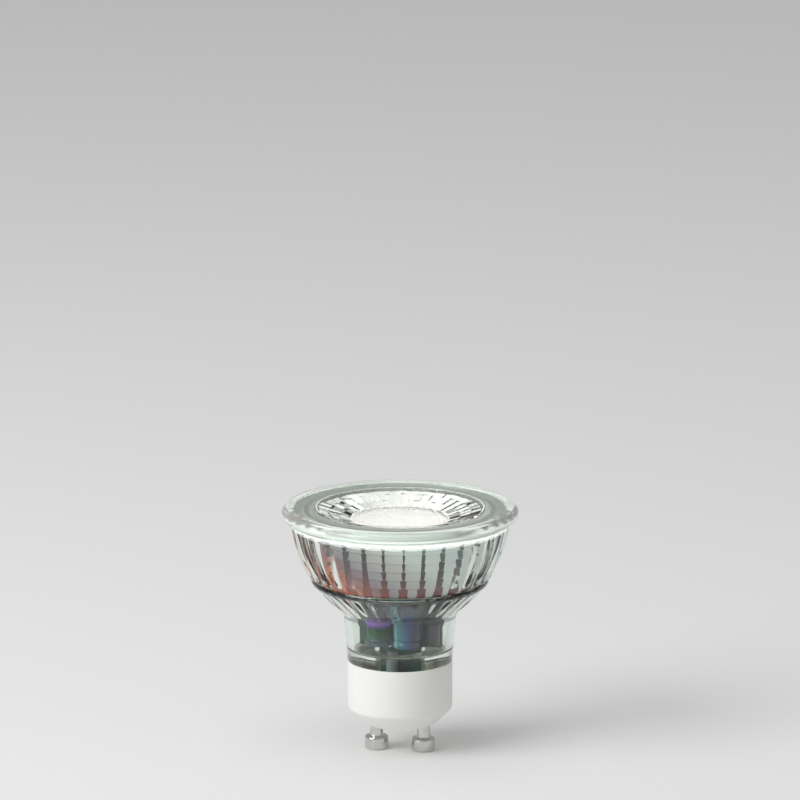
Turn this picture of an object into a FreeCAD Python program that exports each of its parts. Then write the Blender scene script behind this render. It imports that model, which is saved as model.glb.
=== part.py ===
import FreeCAD, Part
import math
import os
import Sketcher

# GU10 spotlight lamp in millimetres.
# The origin is on the lamp's axis, level with the undersides of the two pins it stands on.
# +Z runs up the axis to the lit front, and the two pins lie along X.

os.makedirs("parts", exist_ok=True)
doc = FreeCAD.newDocument("spotlight_lamp")

# Driving dimensions
SIZES = [
    ("pin_spacing", 10.0, "between the two pin axes"),
    ("pin_head_radius", 2.5, "round head that turns into the holder"),
    ("pin_head_height", 2.8, "length of the head"),
    ("pin_head_round", 0.45, "rounding of the head's edges"),
    ("pin_shank_radius", 1.4, "thin part between head and base"),
    ("pin_reach", 6.1, "from the pin's end to the base"),
    ("pin_fit", 0.05, "gap between shank and base"),
    ("pin_collar_radius", 2.1, "swaged collar inside the base"),
    ("pin_collar_height", 0.7, "thickness of the collar"),
    ("pin_tail_length", 1.6, "tube above the collar that takes the lead"),
    ("pin_bore_radius", 0.7, "bore for the lead"),
    ("pin_bore_depth", 4.2, "depth of that bore"),
    ("base_radius", 11.08, "outside of the base cup"),
    ("base_height", 13.6, "closed end to open end"),
    ("base_chamfer", 3.42, "45 degree chamfer at the closed end"),
    ("base_wall", 1.25, "side wall"),
    ("base_floor", 1.8, "closed end"),
    ("base_edge_round", 0.4, "rounding of the open edge"),
    ("cement_gap", 0.5, "cement between cup and glass foot"),
    ("cement_drop", 0.4, "cement stays below the cup's edge by this"),
    ("foot_depth", 5.7, "how far the glass foot goes into the cup"),
    ("foot_thickness", 2.6, "thick glass above the cup's edge"),
    ("foot_bore_radius", 5.3, "hollow through the foot"),
    ("neck_height", 10.26, "cup edge to the start of the funnel"),
    ("neck_flare", 0.83, "how much the neck widens"),
    ("neck_wall", 1.55, "glass at the neck's top"),
    ("neck_draft", 0.56, "how much the neck's hollow widens upward"),
    ("neck_round", 1.0, "rounding where neck meets funnel"),
    ("funnel_height", 6.54, "neck to the step ring"),
    ("funnel_wall", 2.1, "glass of the funnel measured level"),
    ("funnel_hollow_rise", 1.085, "funnel's hollow starts above the neck's top by this"),
    ("funnel_rib_height", 0.25, "faint ribs on the funnel"),
    ("funnel_rib_root", 0.3, "how deep a rib starts inside the wall"),
    ("step_height", 1.1, "the step ring"),
    ("step_bulge", 0.62, "curve of the step ring"),
    ("step_inset", 0.37, "funnel's top is this much inside the bowl's foot"),
    ("bowl_height", 16.5, "step ring's lower edge to the rim's top"),
    ("bowl_curve", 28.7, "curve of the reed crests"),
    ("bowl_foot_radius", 19.02, "reed crests at the top of the step ring"),
    ("bowl_wall", 1.55, "glass between the reeds"),
    ("reed_count", 36, "convex reeds around the bowl"),
    ("reed_depth", 0.4, "crest above the valley"),
    ("reed_land", 0.08, "narrow flat at the valley"),
    ("reed_root", 0.7, "how deep a reed starts inside the wall"),
    ("reed_top_gap", 0.2, "reeds run up to this far below the rim's underside"),
    ("rim_radius", 25.0, "outside of the rolled rim"),
    ("rim_overhang", 2.1, "rim beyond the reeds"),
    ("rim_flare_drop", 4.6, "the reeds end below the rim's top"),
    ("rim_neck_drop", 3.25, "underside of the rim below its top"),
    ("rim_neck_inset", 1.8, "that underside inside the rim's edge"),
    ("rim_bulge", 0.7, "roundness of the rim's edge"),
    ("rim_crown", 0.25, "roundness of the rim's top"),
    ("rim_roll", 2.3, "height of the rim's round edge"),
    ("rim_width", 2.75, "rim from its edge to the optic's seat"),
    ("seat_depth", 1.65, "seat of the optic below the crown's edge"),
    ("seat_width", 1.04, "ledge of that seat"),
    ("glass_turn", 6.2, "degrees that the glass is turned on the base"),
    ("board_seat_rise", 0.5, "ledge for the light board above the funnel"),
    ("board_gap", 0.25, "light board to the glass"),
    ("board_well_rise", 0.6, "straight wall of the glass above the light board"),
    ("board_thickness", 1.0, "light board"),
    ("optic_gap", 0.15, "optic's flange to the glass"),
    ("optic_glue", 0.3, "adhesive under the flange"),
    ("optic_flange", 1.2, "thickness of the flange"),
    ("optic_flange_width", 4.8, "flange from the optic's edge to the dish"),
    ("optic_wall", 1.15, "thickness of the optic's middle"),
    ("dish_depth", 2.15, "depth of the dish"),
    ("disc_radius", 10.4, "pebbled disc at the dish's floor"),
    ("bead_width", 0.6, "raised ring around the dish"),
    ("bead_height", 0.2, "raised ring around the dish"),
    ("reflector_gap", 0.45, "faceted reflector to the glass"),
    ("reflector_wall", 1.1, "faceted reflector"),
    ("reflector_ledge", 0.4, "ledge under each row of facets"),
    ("reflector_ledge_height", 0.08, "slope of that ledge"),
    ("reflector_facets", 30, "flat facets in each row"),
    ("reflector_turn", 5.4, "degrees that the reflector is turned on the base"),
    ("substrate_side", 10.0, "square plate of the light source"),
    ("substrate_thickness", 0.6, "square plate of the light source"),
    ("phosphor_radius", 4.2, "lit disc"),
    ("phosphor_dome", 0.25, "bulge of the lit disc"),
    ("dam_width", 0.6, "white ring around the lit disc"),
    ("dam_height", 0.5, "white ring around the lit disc"),
    ("driver_thickness", 1.0, "driver board"),
    ("driver_clearance", 0.8, "driver board to the glass"),
    ("driver_ledge_gap", 0.35, "driver board's shoulder above the foot's ledge"),
    ("driver_head_inset", 1.2, "wide head's lower corner inside the funnel's hollow"),
    ("driver_head_height", 2.0, "straight edge of the wide head"),
    ("driver_head_drop", 0.6, "head below the light board"),
    ("driver_tail_rise", 0.6, "board's lower end above the foot's end"),
    ("lead_radius", 0.4, "copper of the mains leads"),
    ("lead_play", 0.05, "gap between a lead and the driver board"),
    ("lead_straight", 0.1, "straight end of a mains lead beside its bend"),
    ("sleeve_radius", 0.68, "insulation of the mains leads"),
    ("lead_offset", 3.6, "leads on the driver board, from the axis"),
    ("lead_landing", 1.8, "length of lead that lies on the board"),
    ("lead_insertion", 2.4, "length of lead inside the pin"),
    ("led_lead_radius", 0.35, "leads to the light board"),
    ("led_lead_inset", 0.75, "leads to the light board, from the head's ends"),
    ("led_lead_landing", 2.2, "length that lies on the driver board"),
    ("led_lead_rise", 0.9, "length above the light board"),
    ("hole_play", 0.15, "gap around a wire in a board"),
    ("leg_wire_radius", 0.25, "wire legs of the components"),
    ("leg_wire_end", 0.8, "wire legs beyond the board"),
    ("can_radius", 3.15, "electrolytic capacitor"),
    ("can_height", 10.0, "electrolytic capacitor"),
    ("can_x", 2.2, "electrolytic capacitor from the axis"),
    ("small_can_radius", 2.5, "output capacitor"),
    ("small_can_height", 9.0, "output capacitor"),
    ("small_can_x", -3.4, "output capacitor from the axis"),
    ("can_rise", 1.0, "capacitors above the foot's ledge"),
    ("can_pitch", 2.5, "between a capacitor's legs"),
    ("bobbin_radius", 2.8, "inductor"),
    ("bobbin_height", 7.6, "inductor"),
    ("bobbin_waist", 1.3, "inductor core inside the winding"),
    ("bobbin_flange", 1.0, "inductor's end flanges"),
    ("bobbin_gap", 0.35, "inductor to the electrolytic capacitor"),
    ("bobbin_rise", 1.35, "inductor above the foot's ledge"),
    ("winding_inset", 0.3, "winding inside the flanges"),
    ("film_width", 2.5, "film capacitor along the board"),
    ("film_depth", 3.6, "film capacitor out of the board"),
    ("film_height", 6.0, "film capacitor"),
    ("film_gap", 0.6, "film capacitor to the electrolytic capacitor"),
    ("film_rise", 1.2, "film capacitor above the foot's ledge"),
    ("disc_gap", 0.2, "varistor to the bridge rectifier"),
    ("disc_size", 2.05, "radius of the varistor"),
    ("disc_depth", 2.2, "thickness of the varistor"),
    ("disc_drop", 2.6, "varistor's middle below the light board"),
    ("bridge_width", 5.2, "bridge rectifier"),
    ("bridge_height", 4.0, "bridge rectifier"),
    ("bridge_depth", 2.2, "bridge rectifier"),
    ("bridge_gap", 0.3, "bridge rectifier to the electrolytic capacitor"),
    ("bridge_drop", 0.9, "bridge rectifier's top below the light board"),
    ("bridge_lift", 0.1, "bridge rectifier off the driver board"),
    ("bridge_foot_width", 0.8, "bridge rectifier's flat feet"),
    ("bridge_foot_reach", 0.6, "bridge rectifier's feet beyond its body"),
    ("flat_foot_thickness", 0.3, "flat feet of the black components"),
    ("diode_width", 4.2, "output diode"),
    ("diode_height", 2.4, "output diode"),
    ("diode_depth", 2.1, "output diode"),
    ("diode_inset", 1.45, "output diode to the lead beside it"),
    ("diode_drop", 1.1, "output diode's top below the light board"),
    ("diode_tab_width", 0.7, "output diode's folded tabs"),
    ("diode_tab_reach", 0.55, "tabs beyond the output diode's body"),
    ("fuse_radius", 1.2, "fusible resistor in its sleeve"),
    ("fuse_height", 6.0, "fusible resistor in its sleeve"),
    ("fuse_x", -1.5, "fusible resistor from the axis"),
    ("fuse_drop", 0.5, "fusible resistor below the foot's ledge"),
    ("chip_width", 4.9, "driver chip"),
    ("chip_height", 3.9, "driver chip"),
    ("chip_depth", 1.5, "driver chip"),
    ("chip_x", 3.4, "driver chip from the axis"),
    ("chip_rise", 3.4, "driver chip above the foot's ledge"),
    ("chip_pitch", 1.27, "between the chip's feet"),
    ("chip_foot_width", 0.42, "chip's feet"),
    ("chip_foot_reach", 0.9, "chip's feet beyond its body"),
    ("resistor_length", 3.2, "small resistors"),
    ("resistor_width", 1.6, "small resistors"),
    ("resistor_depth", 0.55, "small resistors"),
    ("resistor_pitch", 4.2, "between the small resistors"),
    ("resistor_row_pitch", 2.6, "between the two rows of small resistors"),
    ("resistor_drop", 2.9, "small resistors below the light board"),
    ("solder_radius", 0.6, "foot of a solder joint"),
    ("solder_height", 0.55, "height of a solder joint"),
    ("solder_neck", 0.1, "solder around the wire at a joint's top"),
]

sheet = doc.addObject("Spreadsheet::Sheet", "Sizes")
for row, (alias, size, note) in enumerate(SIZES, start=1):
    sheet.set(f"A{row}", alias)
    sheet.set(f"B{row}", str(size))
    sheet.set(f"C{row}", note)
    sheet.setAlias(f"B{row}", alias)
doc.recompute()


def value(expression):
    """Work out an expression on the sheet as a plain number."""
    return float(sheet.evalExpression(expression))


def bind(thing, **expressions):
    """Bind properties to the sheet; a double underscore stands for a dot."""
    for path, expression in expressions.items():
        thing.setExpression(path.replace("__", "."), expression)


def put_at(thing, x="0", y="0", z="0"):
    """Bind the place of an object to the sheet."""
    bind(thing, Placement__Base__x=x, Placement__Base__y=y, Placement__Base__z=z)


# Heights along the axis, each worked out from the sizes below it
BASE_BOTTOM = "Sizes.pin_reach"
BASE_TOP = f"({BASE_BOTTOM} + Sizes.base_height)"
FLOOR_TOP = f"({BASE_BOTTOM} + Sizes.base_floor)"
COLLAR_TOP = f"({FLOOR_TOP} + Sizes.pin_collar_height)"
PIN_TOP = f"({COLLAR_TOP} + Sizes.pin_tail_length)"
FOOT_BOTTOM = f"({BASE_TOP} - Sizes.foot_depth)"
FOOT_LEDGE = f"({BASE_TOP} + Sizes.foot_thickness)"
NECK_TOP = f"({BASE_TOP} + Sizes.neck_height)"
FUNNEL_TOP = f"({NECK_TOP} + Sizes.funnel_height)"
STEP_TOP = f"({FUNNEL_TOP} + Sizes.step_height)"
BOARD_BOTTOM = f"({FUNNEL_TOP} + Sizes.board_seat_rise)"
BOARD_TOP = f"({BOARD_BOTTOM} + Sizes.board_thickness)"
RIM_TOP = f"({FUNNEL_TOP} + Sizes.bowl_height)"
CROWN_EDGE = f"({RIM_TOP} - Sizes.rim_crown)"
SEAT = f"({CROWN_EDGE} - Sizes.seat_depth)"
FLANGE_BOTTOM = f"({SEAT} + Sizes.optic_glue)"
FLANGE_TOP = f"({FLANGE_BOTTOM} + Sizes.optic_flange)"
REEDS_END = f"({RIM_TOP} - Sizes.rim_flare_drop)"
RIM_NECK = f"({RIM_TOP} - Sizes.rim_neck_drop)"

# The bowl's meridian is an arc from its foot to the reeds' end, with its centre beyond the axis
BOWL_TOP_RADIUS = "(Sizes.rim_radius - Sizes.rim_overhang)"
BOWL_SPREAD = f"({BOWL_TOP_RADIUS} - Sizes.bowl_foot_radius)"
BOWL_RISE = f"({REEDS_END} - {STEP_TOP})"
BOWL_BEND = f"sqrt(Sizes.bowl_curve^2 / ({BOWL_SPREAD}^2 + {BOWL_RISE}^2) - 0.25)"
BOWL_CENTRE_BEYOND = (
    f"({BOWL_BEND} * {BOWL_RISE} - ({BOWL_TOP_RADIUS} + Sizes.bowl_foot_radius) / 2)"
)
BOWL_CENTRE_HEIGHT = f"(({REEDS_END} + {STEP_TOP}) / 2 + {BOWL_BEND} * {BOWL_SPREAD})"


def bowl_radius(inset, height):
    """Radius of the bowl at a height, a given depth inside the reed crests."""
    curve = f"(Sizes.bowl_curve - {inset})"
    rise = f"({height} - {BOWL_CENTRE_HEIGHT})"
    return f"(sqrt({curve}^2 - {rise}^2) - {BOWL_CENTRE_BEYOND})"


INNER_INSET = "(Sizes.reed_depth + Sizes.bowl_wall)"
FOOT_RADIUS = "(Sizes.base_radius - Sizes.base_wall - Sizes.cement_gap)"
NECK_TOP_RADIUS = "(Sizes.base_radius + Sizes.neck_flare)"
NECK_TOP_HOLLOW = f"({NECK_TOP_RADIUS} - Sizes.neck_wall)"
NECK_HOLLOW = f"({NECK_TOP_HOLLOW} - Sizes.neck_draft)"
FUNNEL_HOLLOW_START = f"({NECK_TOP} + Sizes.funnel_hollow_rise)"
FUNNEL_TOP_RADIUS = f"({bowl_radius('Sizes.reed_depth', STEP_TOP)} - Sizes.step_inset)"
SEAT_RADIUS = "(Sizes.rim_radius - Sizes.rim_width)"
OPTIC_RADIUS = f"({SEAT_RADIUS} - Sizes.optic_gap)"
DISH_RADIUS = f"({OPTIC_RADIUS} - Sizes.optic_flange_width)"
SEAT_EDGE = f"({SEAT_RADIUS} - Sizes.seat_width)"
THROAT_RADIUS = bowl_radius(INNER_INSET, REEDS_END)
WELL_TOP = f"({BOARD_TOP} + Sizes.board_well_rise)"
BOARD_WELL = bowl_radius(INNER_INSET, WELL_TOP)
BOARD_RADIUS = f"({BOARD_WELL} - Sizes.board_gap)"


def hollow_radius(height):
    """Radius of the bowl's hollow: an arc up to the reeds' end and a straight throat above it."""
    if value(height) <= value(REEDS_END):
        return bowl_radius(INNER_INSET, height)
    share = f"(({height} - {REEDS_END}) / ({SEAT} - {REEDS_END}))"
    return f"({THROAT_RADIUS} + ({SEAT_EDGE} - {THROAT_RADIUS}) * {share})"


# The driver board stands on edge so that the mains leads run straight down to the pins
DRIVER_FRONT = "(Sizes.lead_radius + Sizes.lead_play)"
DRIVER_REAR = f"({DRIVER_FRONT} + Sizes.driver_thickness)"
DRIVER_TOP = f"({BOARD_BOTTOM} - Sizes.driver_head_drop)"
DRIVER_HEAD_BOTTOM = f"({DRIVER_TOP} - Sizes.driver_head_height)"
BOARD_LEDGE = f"({FUNNEL_TOP_RADIUS} - Sizes.funnel_wall)"
FUNNEL_SLOPE = (
    f"(({BOARD_LEDGE} - {NECK_TOP_HOLLOW}) / ({BOARD_BOTTOM} - {FUNNEL_HOLLOW_START}))"
)
HEAD_HOLLOW = (
    f"({NECK_TOP_HOLLOW} + {FUNNEL_SLOPE} * ({DRIVER_HEAD_BOTTOM} - {FUNNEL_HOLLOW_START}))"
)
DRIVER_HEAD_HALF = f"({HEAD_HOLLOW} - Sizes.driver_head_inset)"
LED_LEAD_OFFSET = f"({DRIVER_HEAD_HALF} - Sizes.led_lead_inset)"
DRIVER_BOTTOM = f"({FOOT_BOTTOM} + Sizes.driver_tail_rise)"


def origin_feature(body, role):
    """Find an origin plane or axis of a body by its role."""
    return next(feature for feature in body.Origin.OriginFeatures if feature.Role == role)


def new_body(label):
    """Start a body that carries the name of its node."""
    body = doc.addObject("PartDesign::Body", label)
    body.Label = label
    return body


def new_sketch(body, name, plane, height="0"):
    """Attach a sketch to an origin plane of its own body, raised by a height."""
    sketch = body.newObject("Sketcher::SketchObject", name)
    sketch.AttachmentSupport = [(origin_feature(body, plane), "")]
    sketch.MapMode = "FlatFace"
    bind(sketch, AttachmentOffset__Base__z=height)
    return sketch


def pin_point(sketch, edge, end, x, y):
    """Fix a point of a sketch at two expressions; a zero puts it on the axis."""
    for text, axis, kind in ((x, -2, "DistanceX"), (y, -1, "DistanceY")):
        size = value(text)
        if abs(size) < 1e-9:
            sketch.addConstraint(Sketcher.Constraint("PointOnObject", edge, end, axis))
        else:
            fixed = sketch.addConstraint(Sketcher.Constraint(kind, -1, 1, edge, end, size))
            sketch.setExpression(f"Constraints[{fixed}]", text)


def arc_between(start, end, radius, side):
    """Minor arc between two points; side 1 has its centre left of the way, -1 right of it."""
    middle = (start + end) * 0.5
    along = end - start
    left = FreeCAD.Vector(-along.y, along.x, 0).normalize()
    reach = math.sqrt(max(radius ** 2 - (along.Length / 2) ** 2, 0.0))
    centre = middle + left * (reach * side)
    first, last = (start, end) if side > 0 else (end, start)
    turn_a = math.atan2(first.y - centre.y, first.x - centre.x)
    turn_b = math.atan2(last.y - centre.y, last.x - centre.x)
    circle = Part.Circle(centre, FreeCAD.Vector(0, 0, 1), radius)
    return Part.ArcOfCircle(circle, turn_a, turn_b if turn_b > turn_a else turn_b + 2 * math.pi)


def outline(sketch, corners, closed=True):
    """Draw lines and arcs through corners, each corner and radius bound to the sheet.

    A corner is two expressions, and a third item (radius, side) makes the edge after it an arc.
    """
    points = [FreeCAD.Vector(value(corner[0]), value(corner[1]), 0) for corner in corners]
    edges = []
    for index in range(len(corners) if closed else len(corners) - 1):
        start = points[index]
        end = points[(index + 1) % len(points)]
        if len(corners[index]) == 2:
            edges.append((sketch.addGeometry(Part.LineSegment(start, end)), 1, 2))
            continue
        radius, side = corners[index][2]
        edge = sketch.addGeometry(arc_between(start, end, value(radius), side))
        edges.append((edge, 1, 2) if side > 0 else (edge, 2, 1))
        bent = sketch.addConstraint(Sketcher.Constraint("Radius", edge, value(radius)))
        sketch.setExpression(f"Constraints[{bent}]", radius)
    for index, (edge, first, last) in enumerate(edges):
        pin_point(sketch, edge, first, *corners[index][:2])
        if closed or index + 1 < len(edges):
            following = edges[(index + 1) % len(edges)]
            join = Sketcher.Constraint("Coincident", edge, last, following[0], following[1])
            sketch.addConstraint(join)
    if not closed:
        pin_point(sketch, edges[-1][0], edges[-1][2], *corners[-1][:2])


def circle(sketch, x, y, radius):
    """Draw a circle whose centre and radius are bound to the sheet."""
    round_line = Part.Circle(FreeCAD.Vector(value(x), value(y), 0),
                             FreeCAD.Vector(0, 0, 1), value(radius))
    edge = sketch.addGeometry(round_line)
    pin_point(sketch, edge, 3, x, y)
    sized = sketch.addConstraint(Sketcher.Constraint("Radius", edge, value(radius)))
    sketch.setExpression(f"Constraints[{sized}]", radius)


def revolve(body, name, corners):
    """Turn a closed profile of radii and heights about the body's vertical axis."""
    sketch = new_sketch(body, f"{name}_profile", "XZ_Plane")
    outline(sketch, corners)
    turned = body.newObject("PartDesign::Revolution", name)
    turned.Profile = sketch
    turned.ReferenceAxis = (sketch, ["V_Axis"])
    turned.Angle = 360
    doc.recompute()
    return turned


def pad(body, name, plane, height, length, draw, reverse=False):
    """Raise a sketch that draw fills, from a plane at a height."""
    sketch = new_sketch(body, f"{name}_sketch", plane, height)
    draw(sketch)
    raised = body.newObject("PartDesign::Pad", name)
    raised.Profile = sketch
    raised.Reversed = reverse
    bind(raised, Length=length)
    doc.recompute()
    return raised


def pocket_through(body, name, plane, draw):
    """Cut a sketch that draw fills right through the body, both ways, and check that it cuts."""
    before = body.Shape.Volume
    sketch = new_sketch(body, f"{name}_sketch", plane)
    draw(sketch)
    cut = body.newObject("PartDesign::Pocket", name)
    cut.Profile = sketch
    cut.Type = "ThroughAll"
    cut.Midplane = True
    doc.recompute()
    if body.Shape.Volume >= before:
        raise RuntimeError(f"{name} cuts nothing")
    return cut


def round_rings(body, name, radius, rings):
    """Round the level circular edges of a body that lie at the given radii and heights."""
    solid = body.Tip
    places = [(value(ring), value(height)) for ring, height in rings]
    names = []
    for index, edge in enumerate(solid.Shape.Edges, start=1):
        if not isinstance(edge.Curve, Part.Circle):
            continue
        for ring, height in places:
            if abs(edge.Curve.Radius - ring) < 1e-4 and abs(edge.Curve.Center.z - height) < 1e-4:
                names.append(f"Edge{index}")
    rounded = body.newObject("PartDesign::Fillet", name)
    rounded.Base = (solid, names)
    bind(rounded, Radius=radius)
    doc.recompute()
    return rounded


def around(body, name, feature, count):
    """Repeat a feature of a body around its vertical axis."""
    pattern = body.newObject("PartDesign::PolarPattern", name)
    pattern.Originals = [feature]
    pattern.Axis = (origin_feature(body, "Z_Axis"), [""])
    pattern.Angle = 360
    bind(pattern, Occurrences=count)
    body.Tip = pattern
    doc.recompute()
    return pattern


def cylinder(name, radius, height, x="0", y="0", z="0", along="Z"):
    """Plain round bar; along Y it starts at y and runs to the rear."""
    bar = doc.addObject("Part::Cylinder", name)
    if along == "Y":
        bar.Placement.Rotation = FreeCAD.Rotation(FreeCAD.Vector(1, 0, 0), -90)
    bind(bar, Radius=radius, Height=height)
    put_at(bar, x, y, z)
    return bar


def box(name, width, depth, height, x, y, z):
    """Plain block, x at its middle, y and z at its lowest corner."""
    block = doc.addObject("Part::Box", name)
    bind(block, Length=width, Width=depth, Height=height)
    put_at(block, f"{x} - {width} / 2", y, z)
    return block


def fuse(label, pieces):
    """Join pieces into one sub-part."""
    joined = doc.addObject("Part::MultiFuse", label)
    joined.Shapes = pieces
    joined.Label = label
    joined.Refine = True
    return joined


def cut(label, base, tool):
    """Take a tool away from a base."""
    rest = doc.addObject("Part::Cut", label)
    rest.Base = base
    rest.Tool = tool
    rest.Label = label
    return rest


def group(label, pieces):
    """Keep several like solids in one sub-part."""
    together = doc.addObject("Part::Compound", label)
    together.Links = pieces
    together.Label = label
    return together


def make_contact_pin(label, side):
    """Turned pin: round head, thin shank, swaged collar and a tube that takes the lead."""
    body = new_body(label)
    bore_bottom = f"({PIN_TOP} - Sizes.pin_bore_depth)"
    revolve(body, f"{label}_turned", [
        ("0", "0"),
        ("Sizes.pin_head_radius", "0"),
        ("Sizes.pin_head_radius", "Sizes.pin_head_height"),
        ("Sizes.pin_shank_radius", "Sizes.pin_head_height"),
        ("Sizes.pin_shank_radius", FLOOR_TOP),
        ("Sizes.pin_collar_radius", FLOOR_TOP),
        ("Sizes.pin_collar_radius", COLLAR_TOP),
        ("Sizes.pin_shank_radius", COLLAR_TOP),
        ("Sizes.pin_shank_radius", PIN_TOP),
        ("Sizes.pin_bore_radius", PIN_TOP),
        ("Sizes.pin_bore_radius", bore_bottom),
        ("0", bore_bottom),
    ])
    round_rings(body, f"{label}_head_edges", "Sizes.pin_head_round", [
        ("Sizes.pin_head_radius", "0"),
        ("Sizes.pin_head_radius", "Sizes.pin_head_height"),
    ])
    put_at(body, f"{side} * Sizes.pin_spacing / 2")
    return body


def make_base_cap():
    """White cup with a 45 degree chamfer and two holes for the pins."""
    body = new_body("base_cap")
    inside = "(Sizes.base_radius - Sizes.base_wall)"
    face = "(Sizes.base_radius - Sizes.base_chamfer)"
    revolve(body, "cup", [
        ("0", BASE_BOTTOM),
        (face, BASE_BOTTOM),
        ("Sizes.base_radius", f"({BASE_BOTTOM} + Sizes.base_chamfer)"),
        ("Sizes.base_radius", BASE_TOP),
        (inside, BASE_TOP),
        (inside, f"({FLOOR_TOP} + Sizes.base_chamfer - Sizes.base_wall)"),
        (face, FLOOR_TOP),
        ("0", FLOOR_TOP),
    ])
    round_rings(body, "cup_edges", "Sizes.base_edge_round", [
        ("Sizes.base_radius", BASE_TOP),
        ("Sizes.base_radius", f"({BASE_BOTTOM} + Sizes.base_chamfer)"),
        (face, BASE_BOTTOM),
    ])

    def draw(sketch):
        for side in ("1", "-1"):
            hole = "(Sizes.pin_shank_radius + Sizes.pin_fit)"
            circle(sketch, f"{side} * Sizes.pin_spacing / 2", "0", hole)

    pocket_through(body, "pin_holes", "XY_Plane", draw)
    return body


def make_base_cement():
    """Cement between the cup and the glass foot."""
    body = new_body("base_cement")
    outside = "(Sizes.base_radius - Sizes.base_wall)"
    top = f"({BASE_TOP} - Sizes.cement_drop)"
    bottom = f"({FOOT_BOTTOM} + Sizes.cement_drop)"
    revolve(body, "cement", [
        (FOOT_RADIUS, bottom), (outside, bottom), (outside, top), (FOOT_RADIUS, top),
    ])
    return body


# A reed's share of its pitch, and its back's width as a share of its front's
REED_FILL = 0.98
REED_BACK = 0.85

# Sections of a funnel rib: share of the funnel's height, and crest as a share of the rib's height
RIB_SECTIONS = ((0.23, -0.25), (0.5, 0.7), (0.78, 1), (1.01, 0.4))


def reed_section(body, name, height, crest, valley):
    """One level section of a reed: an arc from valley to valley and a narrower back in the wall."""
    half_turn = f"(180 / Sizes.reed_count * {REED_FILL})"
    edge_x = f"({valley} * cos({half_turn}))"
    edge_y = f"({valley} * sin({half_turn}))"
    rise = f"({crest} - {edge_x})"
    curve = f"(({edge_y}^2 + {rise}^2) / (2 * {rise}))"
    sketch = new_sketch(body, name, "XY_Plane", height)
    outline(sketch, [
        (edge_x, f"-1 * {edge_y}", (curve, 1)),
        (edge_x, edge_y),
        (f"({edge_x} - Sizes.reed_root)", f"({REED_BACK} * {edge_y})"),
        (f"({edge_x} - Sizes.reed_root)", f"(-{REED_BACK} * {edge_y})"),
    ])
    return sketch


def add_reed(body, name, sections):
    """Loft a reed through its level sections."""
    reed = body.newObject("PartDesign::AdditiveLoft", name)
    reed.Profile = sections[0]
    reed.Sections = sections[1:]
    doc.recompute()
    return reed


def make_glass():
    """Pressed glass: foot, thick ledge, tapered neck, ribbed funnel, reeded bowl and rolled rim."""
    body = new_body("glass_reflector")
    rim_edge = "(Sizes.rim_radius - Sizes.rim_bulge)"
    roll_bottom = f"({CROWN_EDGE} - Sizes.rim_roll)"
    crown_half = f"(({rim_edge} - {SEAT_RADIUS}) / 2)"
    roll_curve = "(((Sizes.rim_roll / 2)^2 + Sizes.rim_bulge^2) / (2 * Sizes.rim_bulge))"
    crown_curve = f"(({crown_half}^2 + Sizes.rim_crown^2) / (2 * Sizes.rim_crown))"
    revolve(body, "blank", [
        ("Sizes.foot_bore_radius", FOOT_BOTTOM),
        (FOOT_RADIUS, FOOT_BOTTOM),
        (FOOT_RADIUS, BASE_TOP),
        ("Sizes.base_radius", BASE_TOP),
        (NECK_TOP_RADIUS, NECK_TOP),
        (FUNNEL_TOP_RADIUS, FUNNEL_TOP, ("Sizes.step_bulge", 1)),
        (bowl_radius("Sizes.reed_depth", STEP_TOP), STEP_TOP,
         ("(Sizes.bowl_curve - Sizes.reed_depth)", 1)),
        (bowl_radius("Sizes.reed_depth", REEDS_END), REEDS_END),
        ("(Sizes.rim_radius - Sizes.rim_neck_inset)", RIM_NECK),
        (rim_edge, roll_bottom, (roll_curve, 1)),
        (rim_edge, CROWN_EDGE, (crown_curve, 1)),
        (SEAT_RADIUS, CROWN_EDGE),
        (SEAT_RADIUS, SEAT),
        (SEAT_EDGE, SEAT),
        (THROAT_RADIUS, REEDS_END, (f"(Sizes.bowl_curve - {INNER_INSET})", -1)),
        (BOARD_WELL, WELL_TOP),
        (BOARD_WELL, BOARD_BOTTOM),
        (BOARD_LEDGE, BOARD_BOTTOM),
        (NECK_TOP_HOLLOW, FUNNEL_HOLLOW_START),
        (NECK_HOLLOW, FOOT_LEDGE),
        ("Sizes.foot_bore_radius", FOOT_LEDGE),
    ])
    round_rings(body, "neck_edges", "Sizes.neck_round", [
        (NECK_TOP_RADIUS, NECK_TOP),
        (NECK_TOP_HOLLOW, FUNNEL_HOLLOW_START),
        (NECK_HOLLOW, FOOT_LEDGE),
    ])

    valley_inset = "(Sizes.reed_depth + Sizes.reed_land)"
    low = f"({FUNNEL_TOP} + Sizes.step_height * 0.4)"
    high = f"({RIM_NECK} - Sizes.reed_top_gap)"
    sections = []
    steps = 6
    for index in range(steps):
        height = f"({low} + ({high} - {low}) * {index} / {steps - 1})"
        crest = bowl_radius("0", height)
        valley = bowl_radius(valley_inset, height)
        name = f"reed_section_{index}"
        sections.append(reed_section(body, name, height, crest, valley))
    reed = add_reed(body, "reed", sections)
    around(body, "reeds", reed, "Sizes.reed_count")

    sections = []
    for index, (share, height_share) in enumerate(RIB_SECTIONS):
        height = f"({NECK_TOP} + Sizes.funnel_height * {share})"
        wall = f"({NECK_TOP_RADIUS} + ({FUNNEL_TOP_RADIUS} - {NECK_TOP_RADIUS}) * {share})"
        crest = f"({wall} + Sizes.funnel_rib_height * {height_share})"
        valley = f"({wall} - Sizes.funnel_rib_root)"
        name = f"rib_section_{index}"
        sections.append(reed_section(body, name, height, crest, valley))
    rib = add_reed(body, "rib", sections)
    around(body, "ribs", rib, "Sizes.reed_count")
    body.Placement.Rotation = FreeCAD.Rotation(FreeCAD.Vector(0, 0, 1), value("Sizes.glass_turn"))
    return body


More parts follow.
